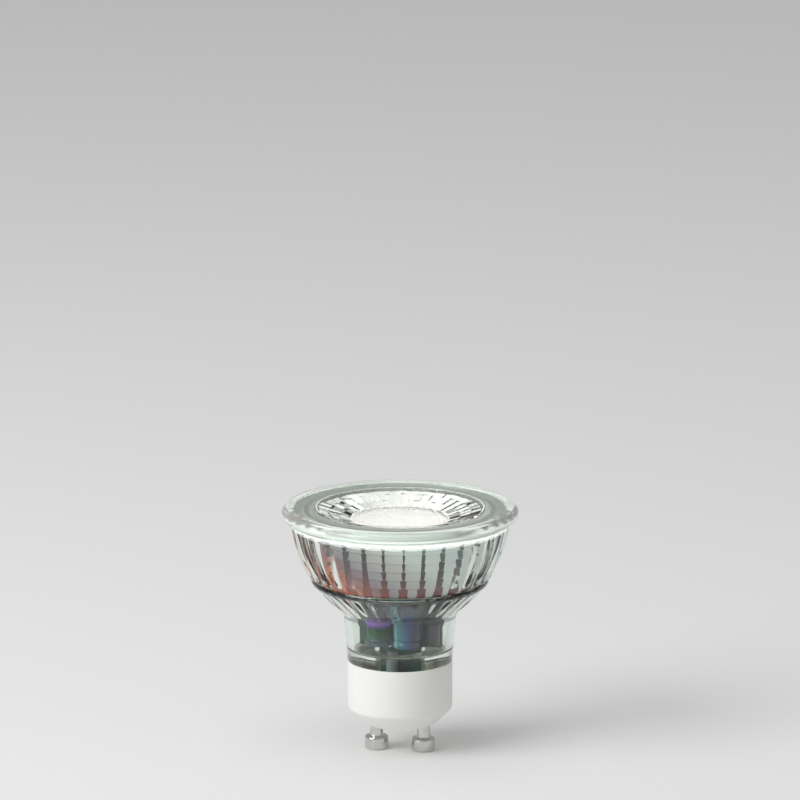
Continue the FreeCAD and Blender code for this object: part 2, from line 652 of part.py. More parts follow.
def make_adhesive():
    """Thin ring of adhesive between the rim's seat and the optic's flange."""
    body = new_body("lens_adhesive_ring")
    inside = f"({SEAT_EDGE} + Sizes.optic_gap)"
    revolve(body, "adhesive", [
        (inside, SEAT), (OPTIC_RADIUS, SEAT), (OPTIC_RADIUS, FLANGE_BOTTOM), (inside, FLANGE_BOTTOM),
    ])
    return body


def make_front_lens():
    """Clear plate: flange with a raised bead, a dish with a sloping wall, and a thin middle."""
    body = new_body("front_lens")
    bead_outside = f"({DISH_RADIUS} + Sizes.bead_width)"
    bead_slope = "(Sizes.bead_width / 4)"
    bead_top = f"({FLANGE_TOP} + Sizes.bead_height)"
    dish_floor = f"({FLANGE_TOP} - Sizes.dish_depth)"
    underside = f"({dish_floor} - Sizes.optic_wall)"
    revolve(body, "lens_plate", [
        ("0", underside),
        ("Sizes.disc_radius", underside),
        (DISH_RADIUS, FLANGE_BOTTOM),
        (OPTIC_RADIUS, FLANGE_BOTTOM),
        (OPTIC_RADIUS, FLANGE_TOP),
        (bead_outside, FLANGE_TOP),
        (f"({bead_outside} - {bead_slope})", bead_top),
        (f"({DISH_RADIUS} + {bead_slope})", bead_top),
        (DISH_RADIUS, FLANGE_TOP),
        ("Sizes.disc_radius", dish_floor),
        ("0", dish_floor),
    ])
    return body


# Rows of facets between the light board and the front lens
REFLECTOR_ROWS = 7


def facet_polygon(name, radius, height):
    """Level polygon of the reflector, turned with its facets."""
    polygon = doc.addObject("Part::RegularPolygon", name)
    turn = value("Sizes.reflector_turn")
    polygon.Placement.Rotation = FreeCAD.Rotation(FreeCAD.Vector(0, 0, 1), turn)
    bind(polygon, Polygon="Sizes.reflector_facets", Circumradius=radius)
    put_at(polygon, z=height)
    return polygon


def facet_loft(name, polygons):
    """Solid with flat faces from polygon to polygon."""
    loft = doc.addObject("Part::Loft", name)
    loft.Sections = polygons
    loft.Solid = True
    loft.Ruled = True
    return loft


def make_reflector():
    """Cup of flat facets in rows, which stands on the light board and holds up the front lens."""
    heights = [f"({BOARD_TOP} + ({FLANGE_BOTTOM} - {BOARD_TOP}) * {row} / {REFLECTOR_ROWS})"
               for row in range(REFLECTOR_ROWS + 1)]
    corners = [f"({hollow_radius(height)} - Sizes.reflector_gap)" for height in heights]
    outer = []
    for row in range(REFLECTOR_ROWS):
        lift = "Sizes.reflector_ledge_height" if row > 0 else "0"
        low = facet_polygon(f"facet_row_{row}_low", corners[row], f"{heights[row]} + {lift}")
        high = facet_polygon(f"facet_row_{row}_high",
                             f"{corners[row + 1]} - Sizes.reflector_ledge", heights[row + 1])
        outer += [low, high]
    depth = "(Sizes.reflector_ledge + Sizes.reflector_wall)"
    inner = [facet_polygon(f"mirror_row_{row}", f"{corner} - {depth}", height)
             for row, (corner, height) in enumerate(zip(corners, heights))]
    return cut("facet_reflector", facet_loft("reflector_outside", outer),
               facet_loft("reflector_hollow", inner))


def make_light_board():
    """Round metal-core board on the glass ledge, with two holes for the leads."""
    body = new_body("led_board")
    pad(body, "board_disc", "XY_Plane", BOARD_BOTTOM, "Sizes.board_thickness",
        lambda sketch: circle(sketch, "0", "0", BOARD_RADIUS))

    def draw(sketch):
        hole = "(Sizes.led_lead_radius + Sizes.hole_play)"
        for side in ("1", "-1"):
            circle(sketch, f"{side} * {LED_LEAD_OFFSET}", LED_LEAD_Y, hole)

    pocket_through(body, "lead_holes", "XY_Plane", draw)
    return body


def make_light_source():
    """Square plate, white ring and domed lit disc."""
    plate = box("led_substrate", "Sizes.substrate_side", "Sizes.substrate_side",
                "Sizes.substrate_thickness", "0", "-Sizes.substrate_side / 2", BOARD_TOP)
    plate.Label = "led_substrate"
    plate_top = f"({BOARD_TOP} + Sizes.substrate_thickness)"
    ring_top = f"({plate_top} + Sizes.dam_height)"
    ring_outside = "(Sizes.phosphor_radius + Sizes.dam_width)"
    dam = new_body("led_dam")
    revolve(dam, "dam_ring", [
        ("Sizes.phosphor_radius", plate_top),
        (ring_outside, plate_top),
        (ring_outside, f"({ring_top} - Sizes.dam_width / 2)", ("(Sizes.dam_width / 2)", 1)),
        ("(Sizes.phosphor_radius + Sizes.dam_width / 2)", ring_top),
        ("Sizes.phosphor_radius", ring_top),
    ])
    phosphor = new_body("led_phosphor")
    curve = "((Sizes.phosphor_radius^2 + Sizes.phosphor_dome^2) / (2 * Sizes.phosphor_dome))"
    revolve(phosphor, "lit_disc", [
        ("0", plate_top),
        ("Sizes.phosphor_radius", plate_top),
        ("Sizes.phosphor_radius", ring_top, (curve, 1)),
        ("0", f"({ring_top} + Sizes.phosphor_dome)"),
    ])
    return [plate, dam, phosphor]


# Places of the components along the driver board, each beside its neighbour
CAN_LEFT = "(Sizes.can_x - Sizes.can_radius)"
CAN_RIGHT = "(Sizes.can_x + Sizes.can_radius)"
BOBBIN_X = f"({CAN_LEFT} - Sizes.bobbin_gap - Sizes.bobbin_radius)"
FILM_X = f"({CAN_RIGHT} + Sizes.film_gap + Sizes.film_width / 2)"
BRIDGE_X = f"({CAN_LEFT} - Sizes.bridge_gap - Sizes.bridge_width / 2)"
DISC_X = f"({BRIDGE_X} - Sizes.bridge_width / 2 - Sizes.disc_gap - Sizes.disc_size)"
DIODE_X = f"({LED_LEAD_OFFSET} - Sizes.diode_inset - Sizes.diode_width / 2)"

# Wire legs of a component from its middle, as shares of its height or radius
BOBBIN_LEG_SHARE = 0.43
FILM_LEG_SHARE = 0.36
DISC_LEG_SHARE = 0.5

# Wire legs that pass through the driver board, as places on the board
CAN_LEG_HEIGHT = f"({FOOT_LEDGE} + Sizes.can_rise / 2)"
BOBBIN_MIDDLE = f"({FOOT_LEDGE} + Sizes.bobbin_rise + Sizes.bobbin_height / 2)"
FILM_MIDDLE = f"({FOOT_LEDGE} + Sizes.film_rise + Sizes.film_height / 2)"
DISC_MIDDLE = f"({BOARD_BOTTOM} - Sizes.disc_drop)"
FUSE_BOTTOM = f"({FOOT_LEDGE} - Sizes.fuse_drop - Sizes.fuse_height)"
HALF_PITCH = "Sizes.can_pitch / 2"
LED_LEAD_Y = f"({DRIVER_FRONT} - Sizes.led_lead_radius - Sizes.lead_play)"
LEGS = {
    "electrolytic": [(f"(Sizes.can_x - {HALF_PITCH})", CAN_LEG_HEIGHT),
                     (f"(Sizes.can_x + {HALF_PITCH})", CAN_LEG_HEIGHT)],
    "output": [(f"(Sizes.small_can_x - {HALF_PITCH})", CAN_LEG_HEIGHT),
               (f"(Sizes.small_can_x + {HALF_PITCH})", CAN_LEG_HEIGHT)],
    "bobbin": [(BOBBIN_X, f"({BOBBIN_MIDDLE} + {side} * Sizes.bobbin_height * {BOBBIN_LEG_SHARE})")
               for side in (-1, 1)],
    "film": [(FILM_X, f"({FILM_MIDDLE} + {side} * Sizes.film_height * {FILM_LEG_SHARE})")
             for side in (-1, 1)],
    "varistor": [(f"({DISC_X} + {side} * Sizes.disc_size * {DISC_LEG_SHARE})", DISC_MIDDLE)
                 for side in (-1, 1)],
}


def wire_legs(name, start, length):
    """Two straight wire legs that pass level through the driver board."""
    return [cylinder(f"{name}_leg_{index}", "Sizes.leg_wire_radius", length, x, start, z, "Y")
            for index, (x, z) in enumerate(LEGS[name])]


def make_driver_board():
    """Flat board on edge: narrow tail in the foot, stem in the neck and a wide head."""
    body = new_body("driver_board")
    tail = "(Sizes.foot_bore_radius - Sizes.driver_clearance)"
    stem = f"({NECK_HOLLOW} - Sizes.driver_clearance)"
    head = DRIVER_HEAD_HALF
    shoulder = f"({FOOT_LEDGE} + Sizes.driver_ledge_gap)"
    right = [(tail, DRIVER_BOTTOM), (tail, shoulder), (stem, shoulder), (stem, FUNNEL_HOLLOW_START),
             (head, DRIVER_HEAD_BOTTOM), (head, DRIVER_TOP)]
    left = [(f"-1 * {x}", z) for x, z in reversed(right)]
    pad(body, "board_blank", "XZ_Plane", f"-1 * {DRIVER_REAR}", "Sizes.driver_thickness",
        lambda sketch: outline(sketch, right + left))

    def draw(sketch):
        for pair in LEGS.values():
            for x, z in pair:
                circle(sketch, x, z, "(Sizes.leg_wire_radius + Sizes.hole_play)")

    pocket_through(body, "leg_holes", "XZ_Plane", draw)
    return body


# Crimp of a capacitor's can as a share of its height, its groove and edge as shares of its radius
CAN_CRIMP = 0.16
CAN_GROOVE = 0.08
CAN_EDGE = 0.12


def make_can(label, radius, height, x, y, legs, start, length):
    """Electrolytic capacitor: crimped aluminium can in a sleeve, bung and two bent legs."""
    body = new_body(f"{label}_can")
    crimp = f"({height} * {CAN_CRIMP})"
    groove = f"({radius} * {CAN_GROOVE})"
    bottom = f"({FOOT_LEDGE} + Sizes.can_rise)"
    rim = f"({radius} * {CAN_EDGE})"
    revolve(body, f"{label}_turned", [
        ("0", bottom),
        (f"({radius} - {rim})", bottom),
        (radius, f"({bottom} + {rim})"),
        (radius, f"({bottom} + {crimp} - {groove} * 2)"),
        (f"({radius} - {groove})", f"({bottom} + {crimp})"),
        (radius, f"({bottom} + {crimp} + {groove} * 2)"),
        (radius, f"({bottom} + {height} - {rim})"),
        (f"({radius} - {rim})", f"({bottom} + {height})"),
        ("0", f"({bottom} + {height})"),
    ])
    put_at(body, x, y)
    pieces = [body] + wire_legs(legs, start, length)
    for index, (leg_x, leg_z) in enumerate(LEGS[legs]):
        drop = cylinder(f"{label}_drop_{index}", "Sizes.leg_wire_radius",
                        f"{bottom} + {rim} - {leg_z}", leg_x, y, leg_z)
        pieces.append(drop)
    return fuse(label, pieces)


def make_inductor():
    """Ferrite bobbin with its copper winding."""
    y = f"({DRIVER_FRONT} - Sizes.bobbin_radius - Sizes.lead_play)"
    bottom = f"({FOOT_LEDGE} + Sizes.bobbin_rise)"
    top = f"({bottom} + Sizes.bobbin_height)"
    low = f"({bottom} + Sizes.bobbin_flange)"
    high = f"({top} - Sizes.bobbin_flange)"
    core = new_body("bobbin")
    revolve(core, "bobbin_turned", [
        ("0", bottom), ("Sizes.bobbin_radius", bottom), ("Sizes.bobbin_radius", low),
        ("Sizes.bobbin_waist", low), ("Sizes.bobbin_waist", high),
        ("Sizes.bobbin_radius", high), ("Sizes.bobbin_radius", top), ("0", top),
    ])
    put_at(core, BOBBIN_X, y)
    length = f"({DRIVER_REAR} + Sizes.leg_wire_end - {y})"
    whole = fuse("inductor_core", [core] + wire_legs("bobbin", y, length))
    winding = new_body("inductor_winding")
    outside = "(Sizes.bobbin_radius - Sizes.winding_inset)"
    revolve(winding, "winding", [
        ("Sizes.bobbin_waist", low), (outside, low), (outside, high), ("Sizes.bobbin_waist", high),
    ])
    put_at(winding, BOBBIN_X, y)
    return [whole, winding]


# Rounding of dipped and sleeved components as shares of their width, thickness and radius
FILM_ROUNDING = 0.3
DISC_ROUNDING = 0.35
SLEEVE_TRIM = 0.25


def make_film_capacitor():
    """Dipped film capacitor standing against the board."""
    front = f"({DRIVER_FRONT} - Sizes.film_depth)"
    block = box("film_block", "Sizes.film_width", "Sizes.film_depth", "Sizes.film_height",
                FILM_X, front, f"({FOOT_LEDGE} + Sizes.film_rise)")
    doc.recompute()
    soft = doc.addObject("Part::Fillet", "film_dipped")
    soft.Base = block
    rounding = value("Sizes.film_width") * FILM_ROUNDING
    upright = [index for index, edge in enumerate(block.Shape.Edges, start=1)
               if edge.BoundBox.YLength > 0.1 or edge.CenterOfMass.y < value(front) + 0.1]
    soft.Edges = [(index, rounding, rounding) for index in upright]
    length = f"({DRIVER_REAR} + Sizes.leg_wire_end - {front} / 2)"
    return fuse("film_capacitor", [soft] + wire_legs("film", f"({front} / 2)", length))


def make_varistor():
    """Dipped disc standing against the board's head."""
    disc = cylinder("varistor_body", "Sizes.disc_size", "Sizes.disc_depth",
                    DISC_X, f"({DRIVER_FRONT} - Sizes.disc_depth)", DISC_MIDDLE, "Y")
    doc.recompute()
    soft = doc.addObject("Part::Fillet", "varistor_dipped")
    soft.Base = disc
    rounding = value("Sizes.disc_depth") * DISC_ROUNDING
    front = value(f"({DRIVER_FRONT} - Sizes.disc_depth)")
    rims = [index for index, edge in enumerate(disc.Shape.Edges, start=1)
            if abs(edge.CenterOfMass.y - front) < 0.01 and edge.Closed]
    soft.Edges = [(index, rounding, rounding) for index in rims]
    start = f"({DRIVER_FRONT} - Sizes.disc_depth / 2)"
    length = f"({DRIVER_REAR} + Sizes.leg_wire_end - {start})"
    return fuse("varistor_disc", [soft] + wire_legs("varistor", start, length))


# Feet of the bridge rectifier beside its middle, and tabs of the diode, as shares of their bodies
BRIDGE_FOOT_SHARE = 0.27
DIODE_TAB_SHARE = 0.6


def make_bridge():
    """Black bridge rectifier with four flat feet on the board."""
    top = f"({BOARD_BOTTOM} - Sizes.bridge_drop)"
    bottom = f"({top} - Sizes.bridge_height)"
    pieces = [box("bridge_block", "Sizes.bridge_width", "Sizes.bridge_depth - Sizes.bridge_lift",
                  "Sizes.bridge_height", BRIDGE_X,
                  f"({DRIVER_FRONT} - Sizes.bridge_depth)", bottom)]
    length = "Sizes.bridge_foot_reach + Sizes.bridge_lift"
    for side in (-1, 1):
        x = f"({BRIDGE_X} + {side} * Sizes.bridge_width * {BRIDGE_FOOT_SHARE})"
        for end, z in (("low", f"({bottom} - Sizes.bridge_foot_reach)"),
                       ("high", f"({top} - Sizes.bridge_lift)")):
            pieces.append(box(f"bridge_foot_{side + 1}_{end}", "Sizes.bridge_foot_width",
                              "Sizes.flat_foot_thickness", length, x,
                              f"({DRIVER_FRONT} - Sizes.flat_foot_thickness)", z))
    return fuse("bridge_rectifier", pieces)


def make_diode():
    """Small black diode with two folded tabs."""
    bottom = f"({BOARD_BOTTOM} - Sizes.diode_drop - Sizes.diode_height)"
    front = f"({DRIVER_FRONT} - Sizes.diode_depth)"
    pieces = [box("diode_block", "Sizes.diode_width", "Sizes.diode_depth", "Sizes.diode_height",
                  DIODE_X, front, bottom)]
    out = "(Sizes.diode_width / 2 + Sizes.diode_tab_reach - Sizes.diode_tab_width / 2)"
    for side in (-1, 1):
        pieces.append(box(f"diode_tab_{side + 1}", "Sizes.diode_tab_width", "Sizes.flat_foot_thickness",
                          f"Sizes.diode_height * {DIODE_TAB_SHARE}", f"({DIODE_X} + {side} * {out})",
                          f"({DRIVER_FRONT} - Sizes.flat_foot_thickness)",
                          f"({bottom} + Sizes.diode_height * (1 - {DIODE_TAB_SHARE}) / 2)"))
    return fuse("output_diode", pieces)


def make_fuse():
    """Fusible resistor in a sleeve, lying along the board's tail."""
    y = f"({DRIVER_FRONT} - Sizes.fuse_radius)"
    sleeve = cylinder("fuse_sleeve", "Sizes.fuse_radius", "Sizes.fuse_height",
                      "Sizes.fuse_x", y, FUSE_BOTTOM)
    doc.recompute()
    soft = doc.addObject("Part::Chamfer", "fusible_resistor")
    soft.Base = sleeve
    trim = value("Sizes.fuse_radius") * SLEEVE_TRIM
    ends = [index for index, edge in enumerate(sleeve.Shape.Edges, start=1) if edge.Closed]
    soft.Edges = [(index, trim, trim) for index in ends]
    soft.Label = "fusible_resistor"
    return soft


def make_chip():
    """Driver chip on the rear of the board, with its eight feet."""
    bottom = f"({FOOT_LEDGE} + Sizes.chip_rise)"
    pieces = [box("chip_block", "Sizes.chip_width", "Sizes.chip_depth", "Sizes.chip_height",
                  "Sizes.chip_x", DRIVER_REAR, bottom)]
    for index in range(4):
        x = f"(Sizes.chip_x + ({index} - 1.5) * Sizes.chip_pitch)"
        for end, z in (("low", f"({bottom} - Sizes.chip_foot_reach)"),
                       ("high", f"({bottom} + Sizes.chip_height)")):
            pieces.append(box(f"chip_foot_{index}_{end}", "Sizes.chip_foot_width",
                              "Sizes.flat_foot_thickness", "Sizes.chip_foot_reach", x, DRIVER_REAR, z))
    return fuse("driver_ic", pieces)


# Row of each small resistor and its place along the row, in steps of the pitch
RESISTOR_PLACES = ((0, -1), (0, 0), (0, 1), (1, 0.1), (1, 1.1))


def make_resistors():
    """Two rows of small resistors on the rear of the board's head."""
    resistors = []
    for index, (row, place) in enumerate(RESISTOR_PLACES):
        top = f"({BOARD_BOTTOM} - Sizes.resistor_drop - {row} * Sizes.resistor_row_pitch)"
        resistors.append(box(f"resistor_{index}", "Sizes.resistor_length", "Sizes.resistor_depth",
                             "Sizes.resistor_width", f"({place} * Sizes.resistor_pitch)",
                             DRIVER_REAR, f"({top} - Sizes.resistor_width / 2)"))
    return group("smd_resistors", resistors)


def sweep_tube(body, name, radius, path, start_height, bore=None):
    """Sweep a round section, with a bore for a sleeve, along a path in the XZ plane."""
    spine = new_sketch(body, f"{name}_path", "XZ_Plane")
    outline(spine, path, closed=False)
    section = new_sketch(body, f"{name}_section", "XY_Plane", start_height)
    circle(section, path[0][0], "0", radius)
    if bore:
        circle(section, path[0][0], "0", bore)
    tube = body.newObject("PartDesign::AdditivePipe", name)
    tube.Profile = section
    tube.Spine = (spine, [])
    doc.recompute()
    return tube


def make_mains_lead(label, side):
    """Lead from the driver board's tail down into a pin, with an easy double bend, and its sleeve."""
    low_x = f"({side} * Sizes.pin_spacing / 2)"
    high_x = f"({side} * Sizes.lead_offset)"
    bend_low = f"({PIN_TOP} + Sizes.lead_straight)"
    bend_high = f"({DRIVER_BOTTOM} - Sizes.lead_straight)"
    rise = f"({bend_high} - {bend_low})"
    shift = "(Sizes.pin_spacing / 2 - Sizes.lead_offset)"
    curve = f"(({rise}^2 + {shift}^2) / (4 * {shift}))"
    middle_x = f"({side} * (Sizes.pin_spacing / 2 + Sizes.lead_offset) / 2)"
    middle_z = f"(({bend_low} + {bend_high}) / 2)"
    bend = [(low_x, bend_low, (curve, side)), (middle_x, middle_z, (curve, -side)),
            (high_x, bend_high)]
    start = f"({PIN_TOP} - Sizes.lead_insertion)"
    whole = [(low_x, start)] + bend + [(high_x, f"({DRIVER_BOTTOM} + Sizes.lead_landing)")]
    lead = new_body(label)
    sweep_tube(lead, f"{label}_wire", "Sizes.lead_radius", whole, start)
    sleeve = new_body(f"{label}_sleeve")
    sweep_tube(sleeve, f"{label}_tube", "Sizes.sleeve_radius", bend, bend_low, "Sizes.lead_radius")
    print(label, "bend radius", round(value(curve), 2))
    return [lead, sleeve]


def make_led_lead(label, side):
    """Straight lead from the driver board's head up through the light board."""
    start = f"({DRIVER_TOP} - Sizes.led_lead_landing)"
    lead = cylinder(label, "Sizes.led_lead_radius", f"{BOARD_TOP} + Sizes.led_lead_rise - {start}",
                    f"{side} * {LED_LEAD_OFFSET}", LED_LEAD_Y, start)
    lead.Label = label
    return lead


# Blob of solder against the wire in it, and the blobs' places along the wire on the board
BLOB_SWELL = 1.8
MAINS_BLOB_SHARE = 0.55
HEAD_BLOB_SHARE = 0.5


def solder_cone(name, wire, x, y, z, along):
    """Cone of solder around a wire, standing on a board."""
    cone = doc.addObject("Part::Cone", f"{name}_cone")
    if along == "Y":
        cone.Placement.Rotation = FreeCAD.Rotation(FreeCAD.Vector(1, 0, 0), -90)
    if along == "-Y":
        cone.Placement.Rotation = FreeCAD.Rotation(FreeCAD.Vector(1, 0, 0), 90)
    bind(cone, Radius1="Sizes.solder_radius", Radius2=f"{wire} + Sizes.solder_neck",
         Height="Sizes.solder_height")
    put_at(cone, x, y, z)
    core = doc.addObject("Part::Cylinder", f"{name}_core")
    core.Placement.Rotation = cone.Placement.Rotation
    bind(core, Radius=wire, Height="Sizes.solder_height * 2")
    shift = {"Y": -1, "-Y": 1}.get(along, 0)
    drop = "0" if shift else "Sizes.solder_height / 2"
    put_at(core, x, f"{y} + {shift} * Sizes.solder_height / 2", f"{z} - {drop}")
    return cut(name, cone, core)


def solder_blob(name, wire, x, z):
    """Blob of solder over a wire that lies on the front of the driver board."""
    ball = doc.addObject("Part::Sphere", f"{name}_ball")
    bind(ball, Radius=f"{wire} * {BLOB_SWELL}")
    put_at(ball, x, DRIVER_FRONT, z)
    behind = box(f"{name}_behind", f"{wire} * 5", f"{wire} * 5", f"{wire} * 5", x, DRIVER_FRONT,
                 f"({z} - {wire} * 2.5)")
    core = cylinder(f"{name}_core", wire, f"{wire} * 6", x,
                    f"({DRIVER_FRONT} - Sizes.lead_play - {wire})", f"({z} - {wire} * 3)")
    return cut(name, cut(f"{name}_half", ball, behind), core)


def make_solder():
    """Solder joints: on the light board, on the leads, and where legs come through the board."""
    joints = []
    for index, side in enumerate(("1", "-1")):
        joints.append(solder_blob(f"mains_joint_{index}", "Sizes.lead_radius",
                                  f"{side} * Sizes.lead_offset",
                                  f"({DRIVER_BOTTOM} + Sizes.lead_landing * {MAINS_BLOB_SHARE})"))
        joints.append(solder_blob(f"head_joint_{index}", "Sizes.led_lead_radius",
                                  f"{side} * {LED_LEAD_OFFSET}",
                                  f"({DRIVER_TOP} - Sizes.led_lead_landing * {HEAD_BLOB_SHARE})"))
    for index, side in enumerate(("1", "-1")):
        joints.append(solder_cone(f"led_joint_{index}", "Sizes.led_lead_radius",
                                  f"{side} * {LED_LEAD_OFFSET}", LED_LEAD_Y, BOARD_TOP, "Z"))
    for name, pair in LEGS.items():
        along, face = ("-Y", DRIVER_FRONT) if name == "output" else ("Y", DRIVER_REAR)
        for index, (x, z) in enumerate(pair):
            joints.append(solder_cone(f"{name}_joint_{index}", "Sizes.leg_wire_radius",
                                      x, face, z, along))
    return group("solder_joints", joints)


def finish(nodes):
    """Check every object and sub-part, then write one file for each node."""
    doc.recompute()
    for thing in doc.Objects:
        if "Invalid" in thing.State or "Error" in thing.State:
            raise RuntimeError(f"{thing.Name} failed: {thing.State}")
    for node in nodes:
        if node.Shape.isNull() or not node.Shape.isValid() or node.Shape.Volume <= 0:
            raise RuntimeError(f"{node.Label} has no sound shape")
    for node in nodes:
        node.Shape.exportStep(f"parts/{node.Label}.step")
        corner = node.Shape.BoundBox
        print(f"{node.Label}: {len(node.Shape.Solids)} solids, {node.Shape.Volume:.1f} mm3, "
              f"z {corner.ZMin:.2f} to {corner.ZMax:.2f}")


CAN_Y = f"({DRIVER_FRONT} - Sizes.can_radius - Sizes.lead_play)"
SMALL_CAN_Y = f"({DRIVER_REAR} + Sizes.leg_wire_end + Sizes.small_can_radius + 2 * Sizes.lead_play)"

nodes = [make_contact_pin("contact_pin_left", "-1"), make_contact_pin("contact_pin_right", "1")]
nodes += [make_base_cap(), make_base_cement(), make_glass(), make_adhesive(), make_front_lens()]
nodes.append(make_reflector())
nodes += [make_light_board()] + make_light_source() + [make_driver_board()]
nodes.append(make_can("electrolytic_capacitor", "Sizes.can_radius", "Sizes.can_height",
                      "Sizes.can_x", CAN_Y, "electrolytic", CAN_Y,
                      f"({DRIVER_REAR} + Sizes.leg_wire_end - {CAN_Y})"))
OUTPUT_START = f"({DRIVER_FRONT} - Sizes.leg_wire_end)"
nodes.append(make_can("output_capacitor", "Sizes.small_can_radius", "Sizes.small_can_height",
                      "Sizes.small_can_x", SMALL_CAN_Y, "output", OUTPUT_START,
                      f"({SMALL_CAN_Y} - {OUTPUT_START})"))
nodes += make_inductor()
nodes += [make_film_capacitor(), make_varistor(), make_bridge(), make_diode(), make_fuse()]
nodes += [make_chip(), make_resistors()]
nodes += make_mains_lead("neutral_lead", -1) + make_mains_lead("live_lead", 1)
nodes += [make_led_lead("led_lead_negative", "-1"), make_led_lead("led_lead_positive", "1")]
nodes.append(make_solder())
finish(nodes)
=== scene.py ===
# %% [markdown]
# # A reflector lamp with a two-pin twist base
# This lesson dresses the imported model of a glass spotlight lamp: a pressed glass envelope with reeds,
# a moulded optic, the electronics in the neck, and a white base with two turned pins.
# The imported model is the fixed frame, so every new piece takes its place from it.

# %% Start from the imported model
import math
import random

import bpy
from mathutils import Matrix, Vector


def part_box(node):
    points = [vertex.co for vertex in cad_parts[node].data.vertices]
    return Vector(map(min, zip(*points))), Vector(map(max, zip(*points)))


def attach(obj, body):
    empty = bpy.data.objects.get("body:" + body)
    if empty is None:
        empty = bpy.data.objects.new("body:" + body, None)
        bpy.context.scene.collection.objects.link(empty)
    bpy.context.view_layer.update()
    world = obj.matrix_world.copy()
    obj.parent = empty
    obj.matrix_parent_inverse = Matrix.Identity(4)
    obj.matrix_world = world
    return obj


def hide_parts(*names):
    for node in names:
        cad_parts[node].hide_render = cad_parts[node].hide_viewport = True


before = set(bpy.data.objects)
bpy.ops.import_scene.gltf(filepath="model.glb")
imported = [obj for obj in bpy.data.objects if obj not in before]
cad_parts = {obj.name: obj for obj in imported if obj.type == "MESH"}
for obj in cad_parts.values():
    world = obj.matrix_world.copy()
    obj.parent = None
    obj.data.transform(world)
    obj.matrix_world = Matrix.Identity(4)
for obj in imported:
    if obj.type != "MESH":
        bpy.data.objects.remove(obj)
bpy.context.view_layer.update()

MM = 0.001
print(len(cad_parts), "packed nodes")

# %% [markdown]
# ## Camera
# The photograph was taken from a little above the lamp with a long lens, which keeps its sides upright.
# The camera stands 1.5 m away on that line. The lamp sits low in the picture, so the camera is aimed
# above it instead of shifted, and other views stay centred.

# %% Camera at the photograph's angle
IMAGE_SIDE = 800
CAMERA_AZIMUTH = math.radians(9.3)
CAMERA_ELEVATION = math.radians(14.8)
CAMERA_DISTANCE = 1.5
PIXELS_PER_MM = 4.735
TARGET = Vector((0, 0, 27 * MM))
TARGET_ROW = 625.4
SENSOR = 36

focal_pixels = PIXELS_PER_MM / MM * CAMERA_DISTANCE
tilt = math.atan((TARGET_ROW - IMAGE_SIDE / 2) / focal_pixels)
back = Vector((
    math.sin(CAMERA_AZIMUTH) * math.cos(CAMERA_ELEVATION),
    -math.cos(CAMERA_AZIMUTH) * math.cos(CAMERA_ELEVATION),
    math.sin(CAMERA_ELEVATION),
))
bpy.ops.object.camera_add(location=TARGET + back * CAMERA_DISTANCE)
camera = bpy.context.object
camera.name = "photo_camera"
camera.rotation_euler = (math.pi / 2 - CAMERA_ELEVATION + tilt, 0, CAMERA_AZIMUTH)
camera.data.sensor_width = SENSOR
camera.data.lens = focal_pixels / IMAGE_SIDE * SENSOR
camera.data.clip_start = 0.05
camera.data.clip_end = 20
scene = bpy.context.scene
scene.camera = camera
scene.view_settings.view_transform = "Standard"
print("lens in mm", round(camera.data.lens, 1), "aimed up by degrees", round(math.degrees(tilt), 2))

# %% [markdown]
# ## Materials
# Each material starts from the real one. Colours are written as they look on a screen, and one function
# turns them to the linear values that a shader needs. Another adds a node with its settings and links,
# so that a material reads as a short list.

# %% Helpers that start a material


def colour(code):
    """Turn an sRGB hex colour to linear red, green, blue and alpha."""
    parts = [int(code[place:place + 2], 16) / 255 for place in (1, 3, 5)]
    return [part / 12.92 if part <= 0.04045 else ((part + 0.055) / 1.055) ** 2.4 for part in parts] + [1]


def add_node(material, kind, inputs, **settings):
    """Add a node with its settings; each input is a plain value or the socket that feeds it."""
    node = material.node_tree.nodes.new(kind)
    for name, setting in settings.items():
        setattr(node, name, setting)
    for name, source in inputs.items():
        if isinstance(source, bpy.types.NodeSocket):
            material.node_tree.links.new(source, node.inputs[name])
        else:
            node.inputs[name].default_value = source
    return node


def new_material(name, **inputs):
    """Start a material and set its Principled shader; an underscore stands for a space."""
    material = bpy.data.materials.new(name)
    material.use_nodes = True
    shader = material.node_tree.nodes["Principled BSDF"]
    for key, setting in inputs.items():
        shader.inputs[key.replace("_", " ")].default_value = setting
    return material, shader


def feed(material, source, socket):
    """Link a node's output to a socket."""
    material.node_tree.links.new(source, socket)


def place_of(material):
    """Object coordinates, which are metres in the shared frame."""
    return add_node(material, "ShaderNodeTexCoord", {}).outputs["Object"]


print("a middle grey on the screen is linear", round(colour("#808080")[0], 3))

# %% Helpers for grain and colour


def grain(material, shader, size, strength, depth, gloss=None, detail=2.0):
    """Give a surface a bump with grains of a size in mm, and let its gloss vary with them."""
    noise = add_node(material, "ShaderNodeTexNoise",
                     {"Vector": place_of(material), "Scale": 1 / (size * MM), "Detail": detail})
    bump = add_node(material, "ShaderNodeBump",
                    {"Strength": strength, "Distance": depth * MM, "Height": noise.outputs["Fac"]})
    feed(material, bump.outputs["Normal"], shader.inputs["Normal"])
    if gloss:
        spread = add_node(material, "ShaderNodeMapRange",
                          {"Value": noise.outputs["Fac"], "To Min": gloss[0], "To Max": gloss[1]})
        feed(material, spread.outputs["Result"], shader.inputs["Roughness"])
    return noise.outputs["Fac"]


def ramp_of(material, share, codes):
    """Colour between evenly spaced hex colours, picked by a value from 0 to 1."""
    node = add_node(material, "ShaderNodeValToRGB", {"Fac": share})
    node.color_ramp.elements[0].color = colour(codes[0])
    node.color_ramp.elements[1].color = colour(codes[-1])
    for index, code in enumerate(codes[1:-1], start=1):
        node.color_ramp.elements.new(index / (len(codes) - 1)).color = colour(code)
    return node.outputs["Color"]


